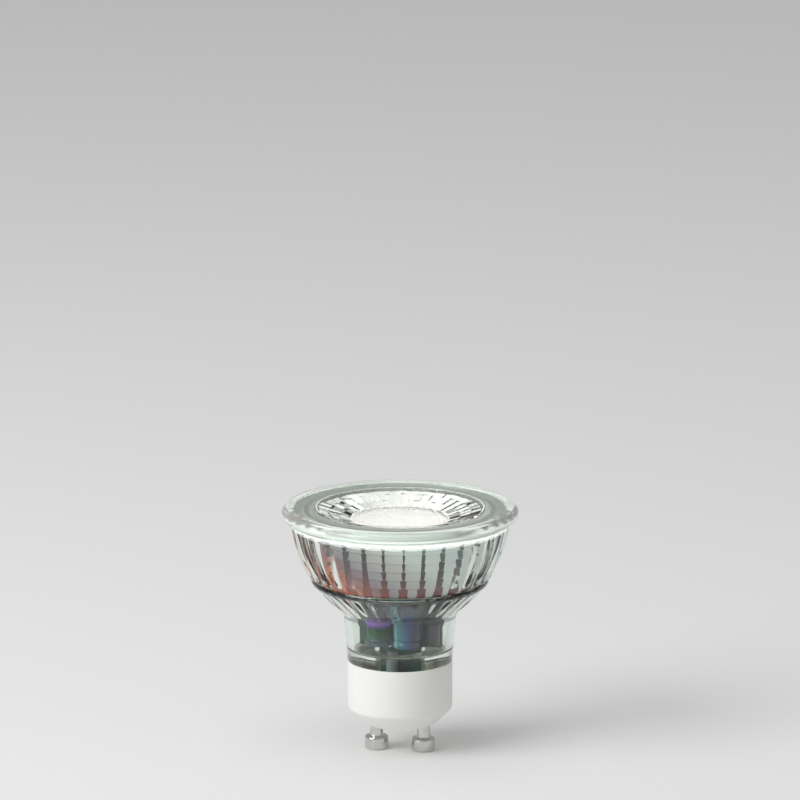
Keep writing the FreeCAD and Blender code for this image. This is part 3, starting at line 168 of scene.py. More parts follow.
def mottle(material, shader, share, codes):
    """Blend the base colour between hex colours by a value from 0 to 1."""
    feed(material, ramp_of(material, share, codes), shader.inputs["Base Color"])


def make_plain(name, codes, size, rough=0.5, spread=0.1, bump=(0.15, 0.03), light=None, **inputs):
    """A surface whose grains, of a size in mm, blend its colours and vary its gloss.

    bump is the strength of the grains and their depth in mm, and light the colour of its glow.
    """
    material, shader = new_material(name, Emission_Color=colour(light or codes[-1]), **inputs)
    share = grain(material, shader, size, *bump, gloss=(rough - spread, rough + spread))
    mottle(material, shader, share, codes)
    return material


# %% Helpers for clear materials


def let_lamps_through(material, tint):
    """Let light from the lamps pass straight through, so that what is behind the glass is lit."""
    path = add_node(material, "ShaderNodeLightPath", {})
    clear = add_node(material, "ShaderNodeBsdfTransparent", {"Color": tint})
    nodes = material.node_tree.nodes
    mix = add_node(material, "ShaderNodeMixShader", {
        0: path.outputs["Is Shadow Ray"],
        1: nodes["Principled BSDF"].outputs["BSDF"],
        2: clear.outputs["BSDF"],
    })
    feed(material, mix.outputs["Shader"], nodes["Material Output"].inputs["Surface"])


def make_clear(name, tint, passes, ripple, **inputs):
    """A clear material that tints the lamp light it passes.

    ripple is its grain: size in mm, strength, depth in mm and detail.
    """
    material, shader = new_material(name, Base_Color=colour(tint), **inputs)
    size, strength, depth, detail = ripple
    grain(material, shader, size, strength, depth, detail=detail)
    let_lamps_through(material, colour(passes))
    return material


# %% [markdown]
# ## Helpers for modelling
# Most pieces of a lamp are turned or pressed round, so they are drawn as half a section and spun. The
# section starts as a small circle merged to one point, and each further corner is an extruded point.
# Sharp corners are rounded with a vertex bevel before the spin, which is easier than bevelling after it.

# %% Helpers that select by place


def choose(pieces):
    """Select pieces alone and make the first one active."""
    bpy.ops.object.select_all(action="DESELECT")
    for piece in pieces:
        piece.select_set(True)
    bpy.context.view_layer.objects.active = pieces[0]


def edit(piece, mode="VERT", action="SELECT"):
    """Open a piece alone in edit mode with all of it selected, or none."""
    choose([piece])
    bpy.ops.object.mode_set(mode="EDIT")
    bpy.ops.mesh.select_mode(type=mode)
    bpy.ops.mesh.select_all(action=action)


def leave():
    """Back to object mode."""
    bpy.ops.object.mode_set(mode="OBJECT")


def leave_faced_outward():
    """Turn every face of the open piece outward, and go back to object mode."""
    bpy.ops.mesh.select_all(action="SELECT")
    bpy.ops.mesh.normals_make_consistent(inside=False)
    leave()


def pick(piece, test, mode="VERT"):
    """Open a piece with only the points, or the faces, that pass a test selected."""
    edit(piece, mode, "DESELECT")
    leave()
    if mode == "VERT":
        for point in piece.data.vertices:
            point.select = test(point.co / MM)
    else:
        for face in piece.data.polygons:
            face.select = test(face.center / MM, face.normal)
    bpy.ops.object.mode_set(mode="EDIT")


def settle(piece):
    """Put a piece's place, turn and size into its mesh."""
    choose([piece])
    bpy.ops.object.transform_apply(location=True, rotation=True, scale=True)


def name_piece(piece, name):
    """Name an object and its mesh."""
    piece.name = name
    piece.data.name = name
    return piece


# %% Helpers that draw a section and spin it
SAME_PLACE = 1e-4
ROUNDING_STEPS = 5


def draw_chain(name, points):
    """Draw a chain of edges through points in mm."""
    bpy.ops.mesh.primitive_circle_add(vertices=3, radius=MM, location=Vector(points[0]) * MM)
    piece = name_piece(bpy.context.object, name)
    settle(piece)
    edit(piece)
    bpy.ops.mesh.merge(type="CENTER")
    for here, there in zip(points, points[1:]):
        move = (Vector(there) - Vector(here)) * MM
        bpy.ops.mesh.extrude_vertices_move(TRANSFORM_OT_translate={"value": move})
    leave()
    return piece


def draw_section(name, corners, closed=False):
    """Draw half a section through (radius, height, rounding) corners in mm."""
    piece = draw_chain(name, [(corner[0], 0, corner[1]) for corner in corners])
    if closed:
        points = piece.data.vertices
        ends = (points[0].co / MM, points[len(points) - 1].co / MM)
        pick(piece, lambda point: any((point - end).length < SAME_PLACE for end in ends))
        bpy.ops.mesh.edge_face_add()
        leave()
    for radius, height, *rounding in corners:
        if rounding:
            pick(piece, lambda point: math.hypot(point.x - radius, point.z - height) < SAME_PLACE)
            bpy.ops.mesh.bevel(offset=rounding[0] * MM, segments=ROUNDING_STEPS, affect="VERTICES")
            leave()
    return piece


def spin_section(piece, steps):
    """Spin a section about the lamp's axis into a closed skin that faces outward."""
    edit(piece)
    bpy.ops.mesh.spin(steps=steps, angle=math.tau, center=(0, 0, 0), axis=(0, 0, 1))
    bpy.ops.mesh.select_all(action="SELECT")
    bpy.ops.mesh.remove_doubles(threshold=0.001 * MM)
    leave_faced_outward()
    return piece


def turned(name, corners, steps, closed=False):
    """A turned piece from its half section."""
    return spin_section(draw_section(name, corners, closed), steps)


# %% Helpers that place, join and cut


def move_to(piece, x=0.0, y=0.0, z=0.0, turn=(0.0, 0.0, 0.0)):
    """Turn a piece by degrees, move it by mm and put both into its mesh."""
    piece.rotation_euler = [math.radians(angle) for angle in turn]
    piece.location = (x * MM, y * MM, z * MM)
    settle(piece)
    return piece


def block(name, low, high, bevel=0.0):
    """A block between two corners in mm, with rounded edges."""
    middle = [(a + b) / 2 * MM for a, b in zip(low, high)]
    size = [(b - a) * MM for a, b in zip(low, high)]
    bpy.ops.mesh.primitive_cube_add(size=1, location=middle, scale=size)
    piece = name_piece(bpy.context.object, name)
    settle(piece)
    if bevel:
        edit(piece, "EDGE")
        bpy.ops.mesh.bevel(offset=bevel * MM, segments=3, affect="EDGES")
        leave()
    return piece


def join(name, pieces):
    """Join meshes into one piece."""
    choose(pieces)
    bpy.ops.object.join()
    return name_piece(pieces[0], name)


def copy_of(piece):
    """A copy of a piece with a mesh of its own."""
    twin = piece.copy()
    twin.data = piece.data.copy()
    bpy.context.collection.objects.link(twin)
    return twin


def cut_out(piece, tool):
    """Cut a tool out of a piece and remove the tool."""
    choose([piece])
    cutter = piece.modifiers.new("cut", "BOOLEAN")
    cutter.operation = "DIFFERENCE"
    cutter.solver = "EXACT"
    cutter.object = tool
    bpy.ops.object.modifier_apply(modifier=cutter.name)
    bpy.data.objects.remove(tool)


# %% Helper that finishes a piece


def dress(piece, nodes, materials, which=None, angle=30):
    """Finish a piece: its materials, smooth shading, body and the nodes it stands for.

    which(centre, normal) gives the number of a face's material.
    """
    piece.data.materials.clear()
    for material in materials:
        piece.data.materials.append(material)
    if which:
        for face in piece.data.polygons:
            face.material_index = which(face.center / MM, face.normal)
    choose([piece])
    bpy.ops.object.shade_smooth_by_angle(angle=math.radians(angle))
    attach(piece, "root")
    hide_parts(*nodes)
    print(piece.name, len(piece.data.polygons), "faces")
    return piece


# %% [markdown]
# ## Floor, light and air
# The lamp stands on a plain pale floor in soft light. A large soft light on the left shapes the white
# base as in the photograph, a smaller one on the right lifts the shadow side, and the sky fills the rest.
# Glass shows mostly what is around it, so the sky is a middle grey and the soft lights give its edges.

# %% Floor
FLOOR_RADIUS = 6.0
FLOOR_LIFT = 0.06


def make_floor_paint():
    """Matt studio paint, pale, with a very fine roller grain, lifted a little where it is only seen."""
    material, shader = new_material("matt_studio_paint", Base_Color=colour("#ECEDED"), Roughness=0.9,
                                    Emission_Color=colour("#FFFFFF"))
    grain(material, shader, size=1.5, strength=0.05, depth=0.02)
    path = add_node(material, "ShaderNodeLightPath", {})
    seen = path.outputs["Is Camera Ray"]
    for ray in ("Is Glossy Ray", "Is Transmission Ray"):
        either = add_node(material, "ShaderNodeMath", {0: seen, 1: path.outputs[ray]}, operation="MAXIMUM")
        seen = either.outputs["Value"]
    lift = add_node(material, "ShaderNodeMath", {0: seen, 1: FLOOR_LIFT}, operation="MULTIPLY")
    feed(material, lift.outputs["Value"], shader.inputs["Emission Strength"])
    return material


bpy.ops.mesh.primitive_circle_add(vertices=96, radius=FLOOR_RADIUS, fill_type="NGON")
floor = name_piece(bpy.context.object, "studio_floor")
floor.data.materials.append(make_floor_paint())
print("floor radius in m", FLOOR_RADIUS)

# %% Soft lights and sky
SKY_STRENGTH = 0.42
BOUNCES = 24


def soft_light(name, azimuth, elevation, distance, side, radiance):
    """A square soft light that faces the lamp; radiance is how bright its face looks."""
    flat, up = math.radians(azimuth), math.radians(elevation)
    way = Vector((math.sin(flat) * math.cos(up), -math.cos(flat) * math.cos(up), math.sin(up)))
    bpy.ops.object.light_add(type="AREA", location=TARGET + way * distance)
    light = bpy.context.object
    light.name = name
    light.rotation_euler = way.to_track_quat("Z", "Y").to_euler()
    light.data.shape = "SQUARE"
    light.data.size = side
    light.data.energy = radiance * math.pi * side ** 2


soft_light("key_light", azimuth=-50, elevation=32, distance=1.0, side=0.6, radiance=5.3)
soft_light("fill_light", azimuth=75, elevation=18, distance=1.2, side=0.5, radiance=0.4)
soft_light("top_light", azimuth=0, elevation=82, distance=1.1, side=0.7, radiance=1.6)

sky = bpy.data.worlds.new("studio_air")
scene.world = sky
sky.use_nodes = True
sky.node_tree.nodes["Background"].inputs["Color"].default_value = colour("#F3F3F1")
sky.node_tree.nodes["Background"].inputs["Strength"].default_value = SKY_STRENGTH
scene.cycles.max_bounces = BOUNCES
scene.cycles.transmission_bounces = BOUNCES
scene.cycles.transparent_max_bounces = BOUNCES

# %% [markdown]
# ## White base
# The base is a moulded cup of white polyester with a chamfer at its closed end. It is turned here from
# its section, and the two pin holes are cut with a boolean, as a mould's core pins would leave them.

# %% Moulded cup
BASE_LOW, BASE_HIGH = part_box("base_cap")
BASE_RADIUS = BASE_HIGH.x / MM
BASE_BOTTOM = BASE_LOW.z / MM
BASE_TOP = BASE_HIGH.z / MM
BASE_WALL = 1.25
BASE_CHAMFER = 3.42
BASE_FLOOR = 1.8
PIN_OFFSET = 5.0
PIN_HOLE_RADIUS = 1.45
HOLE_CUTTER_LENGTH = 6.0
HOLE_CUTTER_RISE = 1.0


def make_base():
    """Cup with a chamfer, an open top and two pin holes."""
    inside = BASE_RADIUS - BASE_WALL
    face = BASE_RADIUS - BASE_CHAMFER
    cup = turned("base_shell", [
        (0, BASE_BOTTOM),
        (face, BASE_BOTTOM, 0.4),
        (BASE_RADIUS, BASE_BOTTOM + BASE_CHAMFER, 0.5),
        (BASE_RADIUS, BASE_TOP, 0.35),
        (inside, BASE_TOP, 0.2),
        (inside, BASE_BOTTOM + BASE_FLOOR + BASE_CHAMFER - BASE_WALL),
        (face, BASE_BOTTOM + BASE_FLOOR),
        (0, BASE_BOTTOM + BASE_FLOOR),
    ], steps=192)
    for side in (-1, 1):
        bpy.ops.mesh.primitive_cylinder_add(
            vertices=48, radius=PIN_HOLE_RADIUS * MM, depth=HOLE_CUTTER_LENGTH * MM,
            location=(side * PIN_OFFSET * MM, 0, (BASE_BOTTOM + HOLE_CUTTER_RISE) * MM))
        cut_out(cup, bpy.context.object)
    return cup


# White moulded polyester: satin, a trace of light under the skin, grains of 0.25 mm.
polyester = make_plain("white_moulded_polyester", ("#F1F0EC", "#F7F6F3"), 0.25, 0.44, 0.06, (0.12, 0.02),
                       Subsurface_Weight=0.15, Subsurface_Scale=1.5 * MM, Subsurface_Radius=(1.0, 0.9, 0.8))
dress(make_base(), ["base_cap"], [polyester])

# %% [markdown]
# ## Contact pins
# Each pin is turned from brass and nickel plated: a mushroom head that twists into the holder, a thin
# shank, a swaged collar inside the base, and a tube above it that takes the lead. The tool leaves fine
# rings around the metal. They are far finer than a face, so a bump that follows the height gives them.

# %% Turned and plated pins
PIN_HEAD_RADIUS = 2.5
PIN_HEAD_HEIGHT = 2.8
PIN_SHANK_RADIUS = 1.4
PIN_COLLAR_RADIUS = 2.1
PIN_COLLAR_LOW = 7.9
PIN_COLLAR_HIGH = 8.6
PIN_TOP = 10.2
PIN_BORE_RADIUS = 0.7
PIN_BORE_FLOOR = 6.0
TURNING_PITCH = 0.12
STAIN_SIZE = 0.9


def make_nickel():
    """Nickel plate on turned brass: bright, slightly warm, with turning rings a pitch apart."""
    material, shader = new_material("nickel_plated_brass", Metallic=1.0)
    place = place_of(material)
    rings = add_node(material, "ShaderNodeTexWave", {"Vector": place, "Scale": 0.3 / (TURNING_PITCH * MM),
                                                     "Distortion": 0.6, "Detail": 1.0},
                     wave_type="BANDS", bands_direction="Z")
    noise = add_node(material, "ShaderNodeTexNoise",
                     {"Vector": place, "Scale": 1 / (STAIN_SIZE * MM), "Detail": 3.0})
    bump = add_node(material, "ShaderNodeBump",
                    {"Strength": 0.12, "Distance": 0.01 * MM, "Height": rings.outputs["Fac"]})
    feed(material, bump.outputs["Normal"], shader.inputs["Normal"])
    gloss = add_node(material, "ShaderNodeMapRange",
                     {"Value": noise.outputs["Fac"], "To Min": 0.1, "To Max": 0.22})
    feed(material, gloss.outputs["Result"], shader.inputs["Roughness"])
    mottle(material, shader, noise.outputs["Fac"], ("#C0BFBC", "#E0DFDC"))
    return material


def make_pin(name, side):
    """Turned pin with a rounded head, a collar and a tube that takes the lead."""
    pin = turned(name, [
        (0, 0),
        (PIN_HEAD_RADIUS, 0, 0.45),
        (PIN_HEAD_RADIUS, PIN_HEAD_HEIGHT, 0.4),
        (PIN_SHANK_RADIUS, PIN_HEAD_HEIGHT, 0.25),
        (PIN_SHANK_RADIUS, PIN_COLLAR_LOW),
        (PIN_COLLAR_RADIUS, PIN_COLLAR_LOW, 0.1),
        (PIN_COLLAR_RADIUS, PIN_COLLAR_HIGH, 0.1),
        (PIN_SHANK_RADIUS, PIN_COLLAR_HIGH),
        (PIN_SHANK_RADIUS, PIN_TOP, 0.15),
        (PIN_BORE_RADIUS, PIN_TOP, 0.1),
        (PIN_BORE_RADIUS, PIN_BORE_FLOOR),
        (0, PIN_BORE_FLOOR),
    ], steps=72)
    return move_to(pin, x=side * PIN_OFFSET)


nickel = make_nickel()
for pin_name, pin_side in (("contact_pin_left", -1), ("contact_pin_right", 1)):
    dress(make_pin(f"{pin_name}_plated", pin_side), [pin_name], [nickel])

# %% [markdown]
# ## Pressed glass envelope
# The envelope is soda-lime glass, pressed in a mould: a thick foot, a neck, a funnel, a step ring and a
# bowl with 36 convex reeds that end in small arches below the rolled rim. It is spun from one section,
# and then the reeds are pressed into its outer skin by moving each point outward with a formula, because
# no operator gives arches where the reeds run into the flare of the rim.

# %% Sizes of the envelope
FOOT_RADIUS = 9.33
FOOT_BOTTOM = 14.0
FOOT_BORE = 5.3
SHOULDER = 19.7
NECK_RADIUS = 11.08
FUNNEL_RADIUS = 11.91
FUNNEL_BOTTOM = 29.96
FUNNEL_RUN = 6.27
FUNNEL_RISE = 6.54
STEP_CENTRE = (18.1, 37.05)
STEP_CURVE = 0.62
STEP_TOP = 37.6
BOWL_CURVE = 28.7
BOWL_CENTRE_HEIGHT = 52.51
BOWL_CENTRE_BEYOND = 5.505
REED_DEPTH = 0.48
REED_COUNT = 36
REED_TURN = 6.2
REEDS_END = 48.4
RIM_NECK = 49.75
RIM_NECK_RADIUS = 23.2
FLARE_END = (24.3, 50.45)
EDGE_CENTRE = (23.744, 51.6)
EDGE_CURVE = 1.245
RIM_TOP = 53.0
CROWN_RADIUS = 23.25
CROWN_CURVE = 6.0
CROWN_DROP = 0.006
SEAT_RADIUS = 22.25
SEAT_HEIGHT = 51.1
SEAT_EDGE = 21.21
GLASS_WALL = 1.95
WELL_TOP = 38.6
BOARD_LEDGE = 37.0
LEDGE_BORE = 16.1
NECK_BORE = 10.36
NECK_BORE_TOP = 31.05
FOOT_HOLLOW = 9.8
HOLLOW_FLOOR = 22.3
print("envelope in mm from", FOOT_BOTTOM, "to", RIM_TOP, "with", REED_COUNT, "reeds")

# %% Section of the envelope


def bowl(height, inset=0.0):
    """Radius of the bowl at a height, an inset inside the crests of the reeds."""
    return math.sqrt((BOWL_CURVE - inset) ** 2 - (height - BOWL_CENTRE_HEIGHT) ** 2) - BOWL_CENTRE_BEYOND


def steps_between(low, high, pitch):
    """Evenly spaced heights from low to high, about a pitch apart."""
    count = max(1, round(abs(high - low) / pitch))
    return [low + (high - low) * index / count for index in range(count + 1)]


def arc(centre, radius, start, end, count):
    """Points of an arc about (radius, height), between two angles in degrees."""
    turns = [math.radians(start + (end - start) * index / count) for index in range(count + 1)]
    return [(centre[0] + radius * math.cos(turn), centre[1] + radius * math.sin(turn)) for turn in turns]


def outer_skin():
    """Foot, shoulder on the base, neck, funnel, step ring, bowl, the flare under the rim and the rim."""
    corners = [(FOOT_RADIUS, FOOT_BOTTOM, 0.3), (FOOT_RADIUS, SHOULDER, 0.15), (NECK_RADIUS, SHOULDER, 0.25),
               (FUNNEL_RADIUS, FUNNEL_BOTTOM, 1.2)]
    corners += [(FUNNEL_RADIUS + FUNNEL_RUN * share, FUNNEL_BOTTOM + FUNNEL_RISE * share)
                for share in (0.25, 0.4, 0.55, 0.7, 0.85)]
    corners += arc(STEP_CENTRE, STEP_CURVE, -62, 62, 8)
    corners += [(bowl(height, REED_DEPTH), height)
                for height in steps_between(STEP_TOP + 0.15, REEDS_END, 0.45)]
    foot = bowl(REEDS_END, REED_DEPTH)
    corners += [(foot + (RIM_NECK_RADIUS - foot) * share ** 1.5, REEDS_END + (RIM_NECK - REEDS_END) * share)
                for share in steps_between(0.08, 0.92, 0.07)]
    corners += [(RIM_NECK_RADIUS, RIM_NECK, 0.25), FLARE_END]
    corners += arc(EDGE_CENTRE, EDGE_CURVE, -56, 66, 12)
    spread = math.degrees(math.asin(1.0 / CROWN_CURVE))
    return corners + arc((CROWN_RADIUS, RIM_TOP - CROWN_CURVE - CROWN_DROP), CROWN_CURVE,
                         90 - spread * 0.75, 90 + spread * 0.8, 6)


def inner_skin():
    """Seat of the lens, hollow of the bowl, ledge of the light board, and hollow of the neck and foot."""
    corners = [(SEAT_RADIUS, RIM_TOP - 0.3), (SEAT_RADIUS, SEAT_HEIGHT), (SEAT_EDGE, SEAT_HEIGHT)]
    corners += [(bowl(height, GLASS_WALL), height) for height in steps_between(REEDS_END, WELL_TOP, 0.9)]
    return corners + [
        (bowl(WELL_TOP, GLASS_WALL), BOARD_LEDGE), (LEDGE_BORE, BOARD_LEDGE, 0.2),
        (NECK_BORE, NECK_BORE_TOP, 1.0), (FOOT_HOLLOW, HOLLOW_FLOOR, 0.7),
        (FOOT_BORE, HOLLOW_FLOOR, 0.2), (FOOT_BORE, FOOT_BOTTOM, 0.2)]


envelope = draw_section("glass_envelope", outer_skin() + inner_skin(), closed=True)
print("section points", len(envelope.data.vertices))

# %% Spin the envelope and press its reeds
ROUND_STEPS = 360
RIBS_LOW = 31.0
RIBS_HIGH = 36.5
RIB_HEIGHT = 0.3


def smooth_share(number, low, high):
    """0 below low, 1 above high and a soft step between them."""
    share = min(1.0, max(0.0, (number - low) / (high - low)))
    return share * share * (3 - 2 * share)


def press_reeds(piece):
    """Move the outer skin outward into reeds on the bowl and faint ribs on the funnel."""
    pitch = 360 / REED_COUNT
    for point in piece.data.vertices:
        radius = math.hypot(point.co.x, point.co.y) / MM
        height = point.co.z / MM
        turn = (math.degrees(math.atan2(point.co.y, point.co.x)) - REED_TURN) % pitch
        across = abs((turn + pitch / 2) % pitch - pitch / 2) / (pitch / 2)
        funnel = FUNNEL_RADIUS + (height - FUNNEL_BOTTOM) * FUNNEL_RUN / FUNNEL_RISE
        pressed = radius
        if STEP_TOP < height < RIM_NECK - 0.02 and radius > bowl(height, REED_DEPTH) - 0.05:
            start = smooth_share(height, STEP_TOP, STEP_TOP + 0.8)
            reed = bowl(height) - REED_DEPTH * across ** 2
            pressed = max(radius, radius + (reed - radius) * start)
        elif RIBS_LOW < height < RIBS_HIGH - 0.05 and radius > funnel - 0.4:
            swell = (smooth_share(height, RIBS_LOW, RIBS_LOW + 1.5)
                     * (1 - smooth_share(height, RIBS_HIGH - 0.6, RIBS_HIGH)))
            pressed = radius + RIB_HEIGHT * swell * (1 - across ** 2)
        point.co.x *= pressed / radius
        point.co.y *= pressed / radius


spin_section(envelope, ROUND_STEPS)
press_reeds(envelope)
widest = max(math.hypot(point.co.x, point.co.y) for point in envelope.data.vertices)
print("envelope radius in mm", round(widest / MM, 2))

# %% Glass materials
ROLLED_EDGE = 50.4
GLASS_PASSES = "#E9F0EA"


def glass_kind(centre, normal):
    """1 for the flare between the arches of the reeds and the rolled edge, and 2 for that edge."""
    outward = normal.x * centre.x + normal.y * centre.y
    if centre.z > ROLLED_EDGE and math.hypot(centre.x, centre.y) > SEAT_RADIUS + 0.1:
        return 2
    return 1 if REEDS_END + 0.5 < centre.z <= ROLLED_EDGE and outward > 0 else 0


# Pressed soda-lime glass: faint green, glossy, with gentle ripples about 3 mm apart. At the rim the same
# glass scatters a little and has a painted glow for the stray light that it carries, least in the rolled
# edge.
glass_kinds = [
    make_clear("pressed_soda_lime_glass", "#F1F7F2", GLASS_PASSES, (3.0, 0.3, 0.03, 1.0),
               Roughness=0.0, IOR=1.5, Transmission_Weight=1.0),
    make_clear("glass_with_painted_glow", "#EEF3EF", GLASS_PASSES, (3.0, 0.2, 0.03, 1.0),
               Roughness=0.04, IOR=1.5, Transmission_Weight=0.92,
               Emission_Color=colour("#FBFDFB"), Emission_Strength=0.35),
    make_clear("rolled_glass_edge", "#EEF3EF", GLASS_PASSES, (3.0, 0.2, 0.03, 1.0),
               Roughness=0.14, IOR=1.5, Transmission_Weight=0.66,
               Emission_Color=colour("#FBFDFB"), Emission_Strength=0.03),
]
dress(envelope, ["glass_reflector"], glass_kinds, glass_kind, angle=35)

# %% [markdown]
# ## Front lens
# Under the rim sits a clear moulded lens: a flange with a raised bead, a shallow dish with a wall of small
# flat facets, and a pebbled disc in its middle that blurs the light source. It is spun like the envelope,
# and then the facets and pebbles are pressed into its top, because they are too many to model one by one.

# %% Section of the front lens
LENS_RADIUS = 22.1
LENS_WALL = 1.15
FLANGE_BOTTOM = 51.4
FLANGE_TOP = 52.6
BEAD_HEIGHT = 0.17
BEAD_FOOT = 0.65
BEAD_CROWN = (0.48, 0.17)
DISH_RADIUS = 17.3
DISH_FLOOR = 50.45
DISH_ROWS = 3
DISC_RADIUS = 10.4


def lens_section():
    """Underside from the middle out, round the flange, over the bead, down the dish and to the middle."""
    underside = DISH_FLOOR - LENS_WALL
    bead = FLANGE_TOP + BEAD_HEIGHT
    corners = [(0, underside), (DISC_RADIUS, underside), (DISH_RADIUS, FLANGE_BOTTOM),
               (LENS_RADIUS, FLANGE_BOTTOM, 0.1), (LENS_RADIUS, FLANGE_TOP, 0.15),
               (DISH_RADIUS + BEAD_FOOT, FLANGE_TOP), (DISH_RADIUS + BEAD_CROWN[0], bead),
               (DISH_RADIUS + BEAD_CROWN[1], bead), (DISH_RADIUS, FLANGE_TOP)]
    for row in range(DISH_ROWS):
        for end in (0.03, 0.97):
            share = (row + end) / DISH_ROWS
            corners.append((DISH_RADIUS + (DISC_RADIUS - DISH_RADIUS) * share,
                            FLANGE_TOP + (DISH_FLOOR - FLANGE_TOP) * share))
    return corners + [(radius, DISH_FLOOR) for radius in steps_between(DISC_RADIUS, 0.0, 0.2)]


print("corners of the lens", len(lens_section()))

# %% Facets of the dish and pebbles of the disc
FACETS_ROUND = 40
DISH_SLOPE = 0.31
FACET_LEAN = 0.16
FACET_TIP = 0.1
PEBBLE_PITCH = 1.2
PEBBLE_REACH = 0.56
PEBBLE_HEIGHT = 0.3


def pebble(x, y):
    """Height of the nearest pebble of a staggered pattern at a place on the disc."""
    row_pitch = PEBBLE_PITCH * math.sqrt(3) / 2
    nearest = PEBBLE_PITCH
    middle_row = round(y / row_pitch)
    for row in (middle_row - 1, middle_row, middle_row + 1):
        shift = PEBBLE_PITCH / 2 * (row % 2)
        column = round((x - shift) / PEBBLE_PITCH)
        nearest = min(nearest, math.hypot(x - column * PEBBLE_PITCH - shift, y - row * row_pitch))
    return PEBBLE_HEIGHT * max(0.0, 1 - (nearest / (PEBBLE_PITCH * PEBBLE_REACH)) ** 2)


def press_dish(piece):
    """Tilt the small flat facets of the dish wall and raise the pebbles of the disc."""
    tilts = random.Random(5)
    lean = {(row, column): tilts.uniform(-1, 1)
            for row in range(DISH_ROWS) for column in range(FACETS_ROUND)}
    degrees_each = 360 // FACETS_ROUND
    half_turn = (degrees_each - 1) / 2
    chord = math.radians(degrees_each / 2)
    for point in piece.data.vertices:
        x, y, z = point.co / MM
        radius = math.hypot(x, y)
        column, place = divmod(round(math.degrees(math.atan2(y, x))) % 360, degrees_each)
        on_top = z > FLANGE_TOP - LENS_WALL + (radius - DISH_RADIUS) * DISH_SLOPE + 0.5
        if DISC_RADIUS + 0.01 < radius < DISH_RADIUS - 0.01 and on_top:
            share = (DISH_RADIUS - radius) / (DISH_RADIUS - DISC_RADIUS) * DISH_ROWS
            row = min(DISH_ROWS - 1, int(share))
            across = (place - half_turn) / half_turn
            point.co.z += (FACET_LEAN * across + FACET_TIP * (share - row - 0.5)) * lean[(row, column)] * MM
            flat = math.cos(chord) / math.cos(across * chord)
            point.co.x *= flat
            point.co.y *= flat
        elif radius < DISC_RADIUS - 0.05 and z > DISH_FLOOR - 0.01:
            point.co.z += pebble(x, y) * MM


lens = turned("moulded_front_lens", lens_section(), ROUND_STEPS)
press_dish(lens)
print("lens faces", len(lens.data.polygons))

# %% Moulded acrylic
ACRYLIC_PASSES = "#F2F5F3"


def lens_kind(centre, normal):
    """1 for the pebbled top of the disc and 2 for the top of the flange."""
    radius = math.hypot(centre.x, centre.y)
    if radius > DISH_RADIUS + BEAD_FOOT + 0.01 and normal.z > 0.5:
        return 2
    return 1 if radius < DISC_RADIUS - 0.1 and centre.z > DISH_FLOOR - 0.3 else 0


# Clear moulded acrylic with polished faces and a faint flow ripple. The pebbled disc has a painted glow for
# the light that it scatters. The flange comes from a finely textured part of the mould, so it looks grey and
# soft.
acrylic_kinds = [
    make_clear("clear_moulded_acrylic", "#FAFCFB", ACRYLIC_PASSES, (2.5, 0.2, 0.03, 1.0),
               Roughness=0.02, IOR=1.49, Transmission_Weight=1.0),
    make_clear("pebbled_acrylic_painted_glow", "#FFFFFF", ACRYLIC_PASSES, (0.4, 0.15, 0.02, 1.0),
               Roughness=0.04, IOR=1.49, Transmission_Weight=0.85,
               Emission_Color=colour("#FFFDF6"), Emission_Strength=0.19),
    make_clear("textured_acrylic_flange", "#B9C2BA", "#D5DBD6", (0.3, 0.2, 0.02, 2.0),
               Roughness=0.3, IOR=1.49, Transmission_Weight=0.6),
]
dress(lens, ["front_lens"], acrylic_kinds, lens_kind, angle=5)

# %% [markdown]
# ## Facet reflector
# Behind the glass stands a metallised cup of moulded plastic. Its wall steps outward in seven rows of 30
# flat facets, and through the reeds its outside shows as grey panels with dark, saw-edged grooves. A
# polygon is extruded row by row, out over the ledges, and back up inside to give the wall its thickness.
# The mould leaves each panel wider at its lower edge, so the inset panels are pinched at their tops.

# %% Rings of the reflector
REFLECTOR_FACETS = 30
REFLECTOR_ROWS = 7
REFLECTOR_TURN = 5.4
REFLECTOR_FOOT = 38.02
REFLECTOR_TOP = 51.38
REFLECTOR_WALL = 1.1
REFLECTOR_GAP = 0.45
REFLECTOR_LEDGE = 0.4
LEDGE_SLOPE = 0.08


def reflector_radius(height):
    """Circumradius of the reflector, which follows the inside of the glass at a gap."""
    if height <= REEDS_END:
        return bowl(height, GLASS_WALL) - REFLECTOR_GAP
    throat = bowl(REEDS_END, GLASS_WALL)
    share = (height - REEDS_END) / (SEAT_HEIGHT - REEDS_END)
    return throat + (SEAT_EDGE - throat) * share - REFLECTOR_GAP


def row_heights():
    """Heights of the ledges from the top down."""
    return [REFLECTOR_TOP + (REFLECTOR_FOOT - REFLECTOR_TOP) * row / REFLECTOR_ROWS
            for row in range(REFLECTOR_ROWS + 1)]


def reflector_rings():
    """Rings of (radius, height) down the stepped outside, round the foot and up the inside."""
    heights = row_heights()
    rings = []
    for upper, lower in zip(heights, heights[1:]):
        rings.append((reflector_radius(upper) - REFLECTOR_LEDGE, upper))
        rings.append((reflector_radius(lower), lower + (LEDGE_SLOPE if lower > REFLECTOR_FOOT else 0)))
    depth = REFLECTOR_LEDGE + REFLECTOR_WALL
    return rings + [(reflector_radius(lower) - depth, lower) for lower in reversed(heights)]


print("rings of the reflector", len(reflector_rings()))

# %% Extrude the reflector


